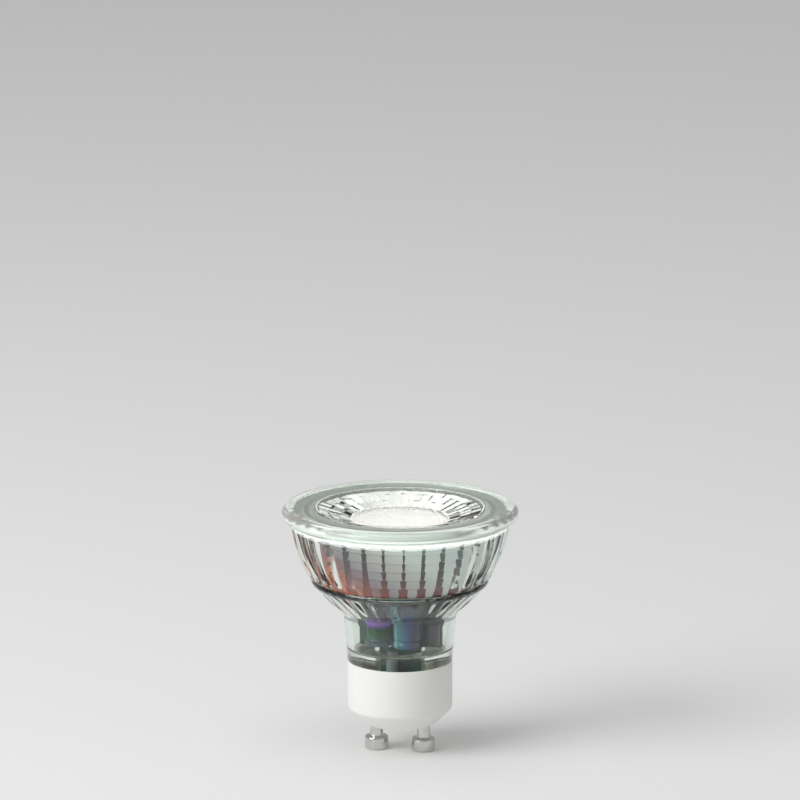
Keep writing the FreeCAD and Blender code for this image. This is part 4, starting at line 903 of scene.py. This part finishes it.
def make_reflector():
    """Extrude the polygon from ring to ring and close the skin at the top."""
    rings = reflector_rings()
    bpy.ops.mesh.primitive_circle_add(vertices=REFLECTOR_FACETS, radius=rings[0][0] * MM,
                                      location=(0, 0, rings[0][1] * MM))
    cup = name_piece(bpy.context.object, "metallised_reflector")
    first = cup.data.vertices[0].co
    cup.rotation_euler.z = math.radians(REFLECTOR_TURN) - math.atan2(first.y, first.x)
    settle(cup)
    edit(cup, "EDGE")
    for (radius, height), (next_radius, next_height) in zip(rings, rings[1:]):
        bpy.ops.mesh.extrude_edges_move(TRANSFORM_OT_translate={"value": (0, 0, (next_height - height) * MM)})
        share = next_radius / radius
        bpy.ops.transform.resize(value=(share, share, 1), center_override=(0, 0, next_height * MM))
    leave()
    pick(cup, lambda point: point.z > REFLECTOR_TOP - 0.1)
    bpy.ops.mesh.bridge_edge_loops()
    leave_faced_outward()
    return cup


reflector = make_reflector()
print("plain facets", len(reflector.data.polygons))

# %% Panels and grooves of the reflector
GROOVE_HALVES = (1.0, 0.78, 0.58, 0.46, 0.38, 0.32)      # half the groove's width in mm, from the lowest row
PANEL_PINCH = 0.14
PANEL_RELIEF = 0.3


def pinch_panels(cup, groove_half):
    """Draw the sides of the selected panels in from their grooves, more at the top than at the bottom."""
    for face in cup.data.polygons:
        if not face.select:
            continue
        middle = face.center.copy()
        along = Vector((-middle.y, middle.x, 0)).normalized()
        for index in face.vertices:
            point = cup.data.vertices[index]
            side = 1 if (point.co - middle).dot(along) > 0 else -1
            pinch = PANEL_PINCH if point.co.z > middle.z else -PANEL_PINCH
            point.co -= along * side * (groove_half + pinch) * MM


def raise_panels(cup):
    """Inset each facet below the plain top row, a row at a time, and pinch its panel."""
    heights = row_heights()
    for row, groove_half in enumerate(GROOVE_HALVES):
        upper, lower = heights[REFLECTOR_ROWS - 1 - row], heights[REFLECTOR_ROWS - row]

        def in_row(centre, normal):
            outward = normal.x * centre.x + normal.y * centre.y
            return lower < centre.z < upper and outward > 0 and abs(normal.z) < 0.7

        pick(cup, in_row, "FACE")
        bpy.ops.mesh.inset(thickness=0.1 * MM, depth=PANEL_RELIEF * MM, use_individual=True)
        leave()
        pinch_panels(cup, groove_half)


raise_panels(reflector)
print("reflector faces", len(reflector.data.polygons))

# %% [markdown]
# ## Film on the reflector
# The film's colour is painted by height and by side, across the camera's view: orange-brown and plum low
# down on the left, grey upward and to the right. It is partly the film's own colour and partly painted
# reflection and shade seen from that side. One value, a mix of height and place, picks the colour from a
# short ramp. The film also has a painted glow, which stands in for the lamp's own light passing through it.

# %% Metallised panels and grooves with painted shade
FILM_TURN = math.radians(9.3)
FILM_FOOT = 38.5
FILM_RISE = 10.0
FILM_REACH = 32.0


def tint_film(material, shader, upward, sideways, codes):
    """Paint a film's colour, with its painted reflection, shade and glow, by a value that grows upward and
    sideways by the given shares.
    """
    place = place_of(material)
    parts = add_node(material, "ShaderNodeSeparateXYZ", {"Vector": place})
    side = add_node(material, "ShaderNodeVectorMath", {
        0: place, 1: (math.cos(FILM_TURN), math.sin(FILM_TURN), 0)}, operation="DOT_PRODUCT")
    high = add_node(material, "ShaderNodeMapRange", {
        "Value": parts.outputs["Z"], "From Min": FILM_FOOT * MM, "From Max": (FILM_FOOT + FILM_RISE) * MM,
        "To Max": upward})
    across = add_node(material, "ShaderNodeMapRange", {
        "Value": side.outputs["Value"], "From Min": -FILM_REACH / 2 * MM, "From Max": FILM_REACH / 2 * MM,
        "To Max": sideways})
    thickness = add_node(material, "ShaderNodeMath", {
        0: high.outputs["Result"], 1: across.outputs["Result"]}, operation="ADD")
    tint = ramp_of(material, thickness.outputs["Value"], codes)
    feed(material, tint, shader.inputs["Base Color"])
    feed(material, tint, shader.inputs["Emission Color"])


def make_metallised():
    """Vacuum-metallised plastic: satin, with painted colour, reflection and glow that run through
    orange-brown, plum and slate to grey.
    """
    material, shader = new_material("vacuum_metallised_plastic_painted_light", Metallic=0.2, Emission_Strength=0.75)
    tint_film(material, shader, 0.45, 1.1, (
        "#B4763F", "#A4552C", "#84503F", "#665057", "#77737A", "#8A8583", "#969494", "#A3A7A6"))
    grain(material, shader, size=0.8, strength=0.08, depth=0.02, gloss=(0.34, 0.46))
    return material


def make_groove():
    """Film in the grooves between the panels, the same colours much deeper as painted shade, with a painted
    glow.
    """
    material, shader = new_material("groove_film_painted_shade", Roughness=0.5, Emission_Strength=0.6)
    tint_film(material, shader, 0.8, 0.4, (
        "#7A3418", "#6A1C16", "#561A20", "#3C1A26", "#34242C", "#2A282E", "#26282C", "#4A5256"))
    grain(material, shader, size=0.5, strength=0.1, depth=0.02)
    return material


# %% Which film covers which face
GROOVE_TURN = 2.5


def turn_in_facet(point):
    """Angle in degrees from the middle of the facet that a point lies on."""
    pitch = 360 / REFLECTOR_FACETS
    return (math.degrees(math.atan2(point.y, point.x)) - REFLECTOR_TURN) % 360 % pitch - pitch / 2


def panel_kind(centre, normal):
    """0 for panels and ledges, 1 for grooves, 2 inside, 3 for the plain top row and 4 for its edge."""
    outward = normal.x * centre.x + normal.y * centre.y
    if outward < 0 and abs(normal.z) < 0.9:
        return 2
    if normal.z > 0.9 and centre.z > REFLECTOR_TOP - 0.1:
        return 4
    if centre.z > row_heights()[1] + LEDGE_SLOPE + 0.01:
        return 3
    return 1 if abs(turn_in_facet(centre)) > GROOVE_TURN else 0


# The inside of the cup is film with a painted glow for the light it passes on, and the plain top row is
# painted bright, with a painted glow for light that leaks past the lens. The top edge is bare moulded
# plastic.
film_kinds = [
    make_metallised(),
    make_groove(),
    make_plain("aluminium_film_painted_glow", ("#E6E8E7", "#F4F5F4"), 1.5, 0.26, 0.06, (0.05, 0.02), "#FFFDF7",
               Metallic=0.6, Emission_Strength=0.3),
    make_plain("top_band_painted_light", ("#F6F6F4", "#F6F6F4"), 1.2, 0.35, 0.0, (0.05, 0.02), "#FFFFFF",
               Emission_Strength=0.9),
    make_plain("bare_moulded_edge", ("#878F88", "#9BA39C"), 0.4),
]
dress(reflector, ["facet_reflector"], film_kinds, panel_kind, angle=4)

# %% [markdown]
# ## Light source
# The lit disc is a dome of silicone full of yellow phosphor, dispensed into a white ring on a ceramic
# plate, and the plate sits on an aluminium board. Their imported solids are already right: plain plates,
# a ring and a low dome. So they keep their shapes and only get materials. The lamp was photographed
# switched on, so the phosphor glows. Its glow is kept low enough that the lens above it stays readable.

# %% Light source and its board
BOARD_FACE = 37.97


def finish_node(name, material):
    """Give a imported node, whose shape is right as it is, its material."""
    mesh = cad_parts[name].data
    mesh.materials.clear()
    mesh.materials.append(material)
    print(name, "finished in", material.name)


def make_light_board_mask():
    """White solder mask on the board's top face, and near black below it, at its edge and back."""
    material, shader = new_material("white_solder_mask_on_aluminium")
    grain(material, shader, size=0.5, strength=0.1, depth=0.02, gloss=(0.32, 0.48))
    parts = add_node(material, "ShaderNodeSeparateXYZ", {"Vector": place_of(material)})
    top = add_node(material, "ShaderNodeMath", {0: parts.outputs["Z"], 1: BOARD_FACE * MM},
                   operation="GREATER_THAN")
    mottle(material, shader, top.outputs["Value"], ("#131617", "#E2E3E0"))
    return material


# Yellow phosphor in silicone, glowing white
finish_node("led_phosphor", make_plain("phosphor_in_silicone", ("#F3D54E", "#F3D54E"), 0.2, 0.35, 0.0,
                                       (0.1, 0.02), "#FFFBF3", Emission_Strength=2.0))
finish_node("led_board", make_light_board_mask())
finish_node("led_substrate", make_plain("white_alumina_ceramic", ("#DADAD4", "#EDEDE9"), 0.3))
finish_node("led_dam", make_plain("white_silicone_dam", ("#EDEDEA", "#F8F8F6"), 0.6, 0.35))

# %% [markdown]
# ## Capacitors
# An electrolytic capacitor is a crimped aluminium can with a rubber bung, in a sleeve that shrinks over
# both ends and leaves the vented top bare. Its can is turned, the vent is scored with a boolean, and its
# wire legs are edge chains that become curves with a round bevel.

# %% Bent wires
WIRE_RADIUS = 0.25
WIRE_BEND = 0.4
LEG_END = 2.25


def bent_wire(name, points):
    """A round wire through points in mm, with rounded bends and closed ends."""
    wire = draw_chain(name, points)
    for corner in points[1:-1]:
        pick(wire, lambda point: (point - Vector(corner)).length < 0.01)
        bpy.ops.mesh.bevel(offset=WIRE_BEND * MM, segments=ROUNDING_STEPS, affect="VERTICES")
        leave()
    bpy.ops.object.convert(target="CURVE")
    wire.data.bevel_depth = WIRE_RADIUS * MM
    wire.data.bevel_resolution = 3
    wire.data.use_fill_caps = True
    bpy.ops.object.convert(target="MESH")
    return name_piece(wire, name)


print("leg wire in mm", 2 * WIRE_RADIUS)

# %% Crimped cans
CAN_BOTTOM = 23.3
CAN_LEG_HEIGHT = 22.8
CAN_LEG_PITCH = 2.5
CAN_STEPS = 64
BUNG_DEPTH = 0.3
VENT_DEPTH = 0.12


def make_can(name, x, y, radius, height, end):
    """Crimped can with a recessed vented top, a bung and two legs that turn toward the board."""
    rim = radius * 0.12
    crimp = CAN_BOTTOM + height * 0.16
    groove = radius * 0.08
    top = CAN_BOTTOM + height
    can = turned(f"{name}_can", [
        (0, CAN_BOTTOM + BUNG_DEPTH),
        (radius * 0.68, CAN_BOTTOM + BUNG_DEPTH, 0.05),
        (radius * 0.72, CAN_BOTTOM, 0.08),
        (radius - rim * 0.6, CAN_BOTTOM, rim * 0.5),
        (radius, CAN_BOTTOM + rim, 0.15),
        (radius, crimp - groove * 2, 0.15),
        (radius - groove, crimp, 0.3),
        (radius, crimp + groove * 2, 0.15),
        (radius, top - rim, 0.15),
        (radius - rim, top, 0.15),
        (radius * 0.76, top, 0.04),
        (radius * 0.74, top - VENT_DEPTH, 0.04),
        (0, top - VENT_DEPTH),
    ], CAN_STEPS)
    for length, width in ((1.1, 0.12), (0.12, 1.1)):
        half = (radius * 0.45 * length, radius * 0.45 * width)
        cut_out(can, block("vent_score", (-half[0], -half[1], top - 0.2), (half[0], half[1], top)))
    move_to(can, x=x, y=y)
    legs = [bent_wire(f"{name}_leg_{side}", [
        (x + side * CAN_LEG_PITCH / 2, y, CAN_BOTTOM + 0.35),
        (x + side * CAN_LEG_PITCH / 2, y, CAN_LEG_HEIGHT),
        (x + side * CAN_LEG_PITCH / 2, end, CAN_LEG_HEIGHT),
    ]) for side in (-1, 1)]
    return join(name, [can] + legs)


def can_kind(x, y, radius, height):
    """0 sleeve, 1 bare aluminium on top, 2 rubber bung, 3 tinned legs."""
    def kind(centre, normal):
        out = math.hypot(centre.x - x, centre.y - y)
        if centre.z < CAN_BOTTOM - 0.01 or (centre.z < CAN_BOTTOM + 0.29 and out > radius):
            return 3
        if centre.z > CAN_BOTTOM + height - 0.3 and out < radius * 0.75:
            return 1
        return 2 if centre.z < CAN_BOTTOM + 0.4 and out < radius * 0.72 else 0
    return kind


# %% Sleeve with marks
SLEEVE_SPAN = (-0.9, 5.3)
DASH_PITCH = 0.8
DASH_LENGTH = 0.35
DASH_SLANT = 0.8
DASH_LINE = -0.15
DASH_HALF_WIDTH = 0.4


def make_can_sleeve():
    """Glossy blue shrink sleeve with painted light and shade, teal on its lit left through blue to violet and
    near black on its shaded right, with a line of slanted marks down one side.
    """
    material, shader = new_material("shrink_sleeve_painted_shading_and_marks", Roughness=0.25, Coat_Weight=0.4)
    parts = add_node(material, "ShaderNodeSeparateXYZ", {"Vector": place_of(material)})
    side = add_node(material, "ShaderNodeMapRange", {
        "Value": parts.outputs["X"], "From Min": SLEEVE_SPAN[0] * MM, "From Max": SLEEVE_SPAN[1] * MM})
    # Painted light and shade across the can: lit teal on the left, shaded violet to near black on the right.
    tint = ramp_of(material, side.outputs["Result"], ("#3C8188", "#21737A", "#1D4A85", "#2A1E5A", "#1A1030"))

    def work_out(operation, *values):
        node = add_node(material, "ShaderNodeMath", dict(enumerate(values)), operation=operation)
        return node.outputs["Value"]

    slant = work_out("MULTIPLY", parts.outputs["X"], DASH_SLANT)
    climb = work_out("ADD", parts.outputs["Z"], slant)
    dash = work_out("LESS_THAN", work_out("MODULO", climb, DASH_PITCH * MM), DASH_LENGTH * MM)
    near = work_out("COMPARE", parts.outputs["X"], DASH_LINE * MM, DASH_HALF_WIDTH * MM)
    blend = add_node(material, "ShaderNodeMix", {0: work_out("MULTIPLY", dash, near), 6: tint,
                                                 7: colour("#A9C6E2")}, data_type="RGBA")
    feed(material, blend.outputs[2], shader.inputs["Base Color"])
    return material


# %% The two capacitors
bare_aluminium = make_plain("drawn_aluminium", ("#B9BBBC", "#D5D6D7"), 0.4, 0.3, Metallic=1.0)
bung_rubber = make_plain("butyl_rubber_bung", ("#17181A", "#242628"), 0.2, 0.7)
tin = make_plain("tinned_copper_wire", ("#B4B5B6", "#D6D6D4"), 0.5, 0.25, Metallic=1.0)
black_sleeve = make_plain("black_shrink_sleeve", ("#121419", "#1F222B"), 1.2, 0.3)
for can_name, can_slot, can_node, sleeve, x, y, radius, height, end in (
        ("sleeved_electrolytic_capacitor", "can_sleeve", "electrolytic_capacitor", make_can_sleeve(),
         2.2, -2.75, 3.15, 10.0, LEG_END),
        ("sleeved_output_capacitor", "small_can_sleeve", "output_capacitor", black_sleeve,
         -3.4, 4.85, 2.5, 9.0, -0.35)):
    dress(make_can(can_name, x, y, radius, height, end), [can_node],
          [sleeve, bare_aluminium, bung_rubber, tin], can_kind(x, y, radius, height))

# %% [markdown]
# ## Inductor
# The inductor is a ferrite bobbin wound with enamelled wire. Each turn of the wire is an arc in the
# section, so that the spun winding has real grooves between its turns. A true helix would need a sweep
# with two loose ends, and closed rings look the same from outside.

# %% Ferrite bobbin
BOBBIN_X = -4.1
BOBBIN_Y = -2.4
BOBBIN_RADIUS = 2.8
BOBBIN_WAIST = 1.3
BOBBIN_BOTTOM = 23.65
BOBBIN_TOP = 31.25
BOBBIN_FLANGE = 1.0
BOBBIN_STEPS = 64


def make_bobbin():
    """Ground ferrite bobbin with two flanges and a shallow dimple on top."""
    low, high = BOBBIN_BOTTOM + BOBBIN_FLANGE, BOBBIN_TOP - BOBBIN_FLANGE
    core = turned("ferrite_bobbin", [
        (0, BOBBIN_BOTTOM),
        (BOBBIN_RADIUS, BOBBIN_BOTTOM, 0.12),
        (BOBBIN_RADIUS, low, 0.12),
        (BOBBIN_WAIST, low + 0.01),
        (BOBBIN_WAIST, high - 0.01),
        (BOBBIN_RADIUS, high, 0.12),
        (BOBBIN_RADIUS, BOBBIN_TOP, 0.2),
        (1.0, BOBBIN_TOP, 0.1),
        (0.8, BOBBIN_TOP - 0.25),
        (0, BOBBIN_TOP - 0.25),
    ], BOBBIN_STEPS)
    return move_to(core, x=BOBBIN_X, y=BOBBIN_Y)


def make_ramped(name, levels, codes, rough, **inputs):
    """A glossy coat with a faint painted glow, whose colour runs up between two heights in mm."""
    material, shader = new_material(name, **inputs)
    grain(material, shader, size=0.5, strength=0.1, depth=0.02, gloss=(rough - 0.08, rough + 0.08))
    parts = add_node(material, "ShaderNodeSeparateXYZ", {"Vector": place_of(material)})
    rise = add_node(material, "ShaderNodeMapRange",
                    {"Value": parts.outputs["Z"], "From Min": levels[0] * MM, "From Max": levels[1] * MM})
    tint = ramp_of(material, rise.outputs["Result"], codes)
    feed(material, tint, shader.inputs["Base Color"])
    feed(material, tint, shader.inputs["Emission Color"])
    return material


# Grey varnished ferrite with a painted violet reflection toward its top and a faint painted glow
ferrite = make_ramped("varnished_ferrite_painted_reflection", (23.6, 31.3), (
    "#4A5360", "#39414C", "#2A3038", "#3C3450", "#9C68D2", "#3A3148"), 0.3, Emission_Strength=0.15)
dress(make_bobbin(), ["inductor_core"], [ferrite])

# %% Enamelled winding
WINDING_RADIUS = 2.5
WINDING_BORE = 1.4
TURNS = 14


def make_winding():
    """Close turns of enamelled wire."""
    low = BOBBIN_BOTTOM + BOBBIN_FLANGE + 0.02
    pitch = (BOBBIN_TOP - BOBBIN_FLANGE - 0.02 - low) / TURNS
    corners = [(WINDING_BORE, low)]
    for turn in range(TURNS):
        corners += arc((WINDING_RADIUS - pitch / 2, low + (turn + 0.5) * pitch), pitch / 2, -88, 88, 6)
    corners += [(WINDING_BORE, low + TURNS * pitch)]
    winding = turned("enamelled_winding", corners, BOBBIN_STEPS, closed=True)
    return move_to(winding, x=BOBBIN_X, y=BOBBIN_Y)


# Copper wire in green enamel, with a painted violet reflection at the top, like the bobbin, and a faint
# painted glow
enamel = make_ramped("enamelled_copper_wire_painted_reflection", (24.6, 30.3), (
    "#59667A", "#2A5A34", "#1C4A22", "#6A4A98", "#B07AE0"), 0.25, Metallic=0.3, Emission_Strength=0.1)
dress(make_winding(), ["inductor_winding"], [enamel])

# %% [markdown]
# ## Moulded and dipped components
# The rectifier, the diode and the chip are epoxy blocks that taper a little to their faces, as the mould
# needs, with flat feet bent down to the board. A foot is drawn as a bent profile, extruded to its width
# and copied. The film capacitor and the varistor are dipped, so all of their edges are round.

# %% Blocks with bent feet
BLOCK_TAPER = 0.93
BLOCK_BEVEL = 0.1
FOOT_SHEET = 0.2


def moulded_block(name, low, high, front):
    """An epoxy block whose face at y = front is a little smaller."""
    body = block(name, low, high)
    middle = [(a + b) / 2 * MM for a, b in zip(low, high)]
    pick(body, lambda point: abs(point.y - front) < 0.01)
    bpy.ops.transform.resize(value=(BLOCK_TAPER, 1, BLOCK_TAPER), center_override=middle)
    bpy.ops.mesh.select_all(action="SELECT")
    bpy.ops.mesh.select_mode(type="EDGE")
    bpy.ops.mesh.bevel(offset=BLOCK_BEVEL * MM, segments=2, affect="EDGES")
    leave()
    return body


def bent_foot(name, reach, rise, width):
    """A flat foot that lies on the board, rises and enters the body; reach runs along x."""
    foot = draw_section(name, [
        (reach, 0), (reach, FOOT_SHEET), (reach * 0.45, FOOT_SHEET), (reach * 0.25, rise),
        (-0.3, rise), (-0.3, rise - FOOT_SHEET), (reach * 0.1, rise - FOOT_SHEET), (reach * 0.3, 0),
    ], closed=True)
    edit(foot)
    bpy.ops.mesh.edge_face_add()
    bpy.ops.mesh.extrude_region_move(TRANSFORM_OT_translate={"value": (0, width * MM, 0)})
    leave_faced_outward()
    return move_to(foot, y=-width / 2)


def place_feet(name, places, reach, rise, width):
    """Copies of one foot; a place is (x, y, z, turn about x, turn about y)."""
    first = bent_foot(f"{name}_foot", reach, rise, width)
    feet = [move_to(copy_of(first), x=x, y=y, z=z, turn=(lean, turn, 0)) for x, y, z, lean, turn in places]
    bpy.data.objects.remove(first)
    return feet


def body_kind(low, high):
    """0 inside the body's box and 1 outside it, on the feet."""
    def kind(centre, normal):
        inside = all(a - 0.02 < part < b + 0.02 for a, part, b in zip(low, centre, high))
        return 0 if inside else 1
    return kind


# %% Rectifier, chip and diode
BOARD_FRONT = 0.45
BOARD_BACK = 1.45
CHIP_LEG_PITCH = 1.27

black_epoxy = make_plain("moulded_black_epoxy", ("#0C0D0F", "#191B1E"), 0.15, 0.45)
rectifier_feet = [(x, BOARD_FRONT, z, 90, turn)
                  for x in (-5.25, -2.45) for z, turn in ((32.1, 90), (36.1, -90))]
chip_feet = [(3.4 + (index - 1.5) * CHIP_LEG_PITCH, BOARD_BACK, z, -90, turn)
             for index in range(4) for z, turn in ((25.7, 90), (29.6, -90))]
diode_feet = [(10.18, BOARD_FRONT, 34.7, 90, 0), (5.98, BOARD_FRONT, 34.7, 90, 180)]
for name, node, low, high, front, feet, foot_sizes in (
        ("rectifier", "bridge_rectifier", (-6.45, -1.75, 32.1), (-1.25, 0.35, 36.1), -1.75,
         rectifier_feet, (0.6, 0.8, 0.8)),
        ("driver_chip", "driver_ic", (0.95, 1.47, 25.7), (5.85, 2.95, 29.6), 2.95,
         chip_feet, (0.9, 0.75, 0.42)),
        ("output_diode", "output_diode", (5.98, -1.65, 33.5), (10.18, 0.42, 35.9), -1.65,
         diode_feet, (0.55, 1.0, 1.4))):
    body = moulded_block(f"{name}_body", low, high, front)
    body = join(f"moulded_{name}", [body] + place_feet(name, feet, *foot_sizes))
    dress(body, [node], [black_epoxy, tin], body_kind(low, high))

# %% Dipped film capacitor and varistor
CAPACITOR_CORNERS = ((5.95, -3.15, 23.5), (8.45, BOARD_FRONT, 29.5))
CAPACITOR_LEGS = ((7.2, 24.5), (7.2, 28.5))
DIP_ROUNDING = 0.75
VARISTOR_PLACE = (-8.7, -0.65, 34.4)
VARISTOR_LEGS = ((-10.0, 34.4), (-7.4, 34.4))
VARISTOR_RADIUS = 2.05
VARISTOR_HALF = 1.1


def straight_legs(name, places):
    """Wire legs that go level through the board from inside the body."""
    return [bent_wire(f"{name}_leg_{index}", [(x, 0, z), (x, LEG_END, z)])
            for index, (x, z) in enumerate(places)]


def leg_kind(centre, normal):
    """1 for the legs behind the board's front."""
    return 1 if centre.y > BOARD_FRONT + 0.01 else 0


film = block("film_body", *CAPACITOR_CORNERS, bevel=DIP_ROUNDING)
film = join("dipped_film_capacitor", [film] + straight_legs("film", CAPACITOR_LEGS))
film_epoxy = make_plain("dipped_violet_grey_epoxy", ("#241F2B", "#3C3947", "#4A4F55"), 0.9, 0.3)
dress(film, ["film_capacitor"], [film_epoxy, tin], leg_kind)

varistor = turned("varistor_body", [
    (0, -VARISTOR_HALF),
    (VARISTOR_RADIUS, -VARISTOR_HALF, DIP_ROUNDING),
    (VARISTOR_RADIUS, VARISTOR_HALF, 0.4),
    (0, VARISTOR_HALF),
], steps=48)
move_to(varistor, *VARISTOR_PLACE, turn=(-90, 0, 0))
varistor = join("dipped_varistor", [varistor] + straight_legs("varistor", VARISTOR_LEGS))
# Orange-brown dipped epoxy with a faint painted glow
disc_epoxy = make_plain("dipped_orange_brown_epoxy_painted_glow", ("#A04A18", "#D8702A"), 0.6, 0.35,
                        Emission_Strength=0.1)
dress(varistor, ["varistor_disc"], [disc_epoxy, tin], leg_kind)

# %% Small resistors
RESISTOR_PLACES = ((-4.2, 34.1), (0, 34.1), (4.2, 34.1), (0.42, 31.5), (4.62, 31.5))
RESISTOR_HALF = (1.3, 0.78)
RESISTOR_HEIGHT = 0.5
END_OFFSET = 1.4
END_HALF = (0.2, 0.8)
END_HEIGHT = 0.55


def make_resistor(name, x, z):
    """Ceramic chip with a glass face and wrapped tin ends."""
    long, wide = RESISTOR_HALF
    body = block(f"{name}_body", (x - long, BOARD_BACK, z - wide),
                 (x + long, BOARD_BACK + RESISTOR_HEIGHT, z + wide), 0.04)
    half, reach = END_HALF
    return [body] + [block(f"{name}_end_{side}", (x + side * END_OFFSET - half, BOARD_BACK, z - reach),
                           (x + side * END_OFFSET + half, BOARD_BACK + END_HEIGHT, z + reach), 0.08)
                     for side in (-1, 1)]


def resistor_kind(centre, normal):
    """1 for the tin ends."""
    level = [x for x, z in RESISTOR_PLACES if abs(centre.z - z) < 1]
    return 1 if min(abs(abs(centre.x - x) - END_OFFSET) for x in level) < END_HALF[0] + 0.01 else 0


parts = []
for index, (x, z) in enumerate(RESISTOR_PLACES):
    parts += make_resistor(f"resistor_{index}", x, z)
resistors = join("thick_film_resistors", parts)
glass_face = make_plain("black_glass_on_ceramic", ("#101114", "#1B1C20"), 0.3, 0.25)
dress(resistors, ["smd_resistors"], [glass_face, tin], resistor_kind)

# %% [markdown]
# ## Boards, leads and joints
# The driver board, the mains leads, their sleeves, the solder and the cement already have their real
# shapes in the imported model, so they keep them and only get their materials. The board's green mask is
# lighter where it lies over copper, in patches about 1.9 mm wide.

# %% Solder mask with copper patches
PATCH_WIDTH = 1.9


def make_driver_mask():
    """Dark green solder mask on glass-fibre laminate, lighter where it lies over copper."""
    material, shader = new_material("green_solder_mask")
    grain(material, shader, size=0.3, strength=0.1, depth=0.02, gloss=(0.22, 0.38))
    patches = add_node(material, "ShaderNodeTexVoronoi", {
        "Vector": place_of(material), "Scale": 1 / (PATCH_WIDTH * MM), "Randomness": 0.7,
    }, distance="MANHATTAN", feature="DISTANCE_TO_EDGE")
    mottle(material, shader, patches.outputs["Distance"], ("#0A3A33", "#0B4A40", "#0F6352", "#0F6352"))
    return material


finish_node("driver_board", make_driver_mask())

# %% Sleeves, wires, solder, cement and silicone
resistor_sleeve = make_plain("grey_glass_fibre_sleeve", ("#6F7780", "#9AA3A6"), 0.25, 0.6, bump=(0.4, 0.03))
lead_sleeve = make_plain("white_silicone_sleeve", ("#DCDCD6", "#EFEFEA"), 0.5)
bare_copper = make_plain("bare_copper_wire", ("#B06A45", "#C98660"), 0.4, 0.3, Metallic=1.0)
solder = make_plain("bright_solder", ("#B9BCBF", "#DCDEDF"), 0.6, 0.2, Metallic=1.0)
cement = make_plain("pale_lamp_cement", ("#B9B5A8", "#CFCCC2"), 0.35, 0.85, bump=(0.5, 0.03))
# The cured silicone of the lens ring has a faint painted glow
silicone = make_plain("clear_cured_silicone_painted_glow", ("#C9D3CC", "#DCE4DE"), 1.0, 0.35, Emission_Strength=0.1)
for material, nodes in (
        (resistor_sleeve, ["fusible_resistor"]),
        (lead_sleeve, ["neutral_lead_sleeve", "live_lead_sleeve"]),
        (bare_copper, ["neutral_lead", "live_lead"]),
        (tin, ["led_lead_negative", "led_lead_positive"]),
        (solder, ["solder_joints"]),
        (cement, ["base_cement"]),
        (silicone, ["lens_adhesive_ring"])):
    for node in nodes:
        finish_node(node, material)
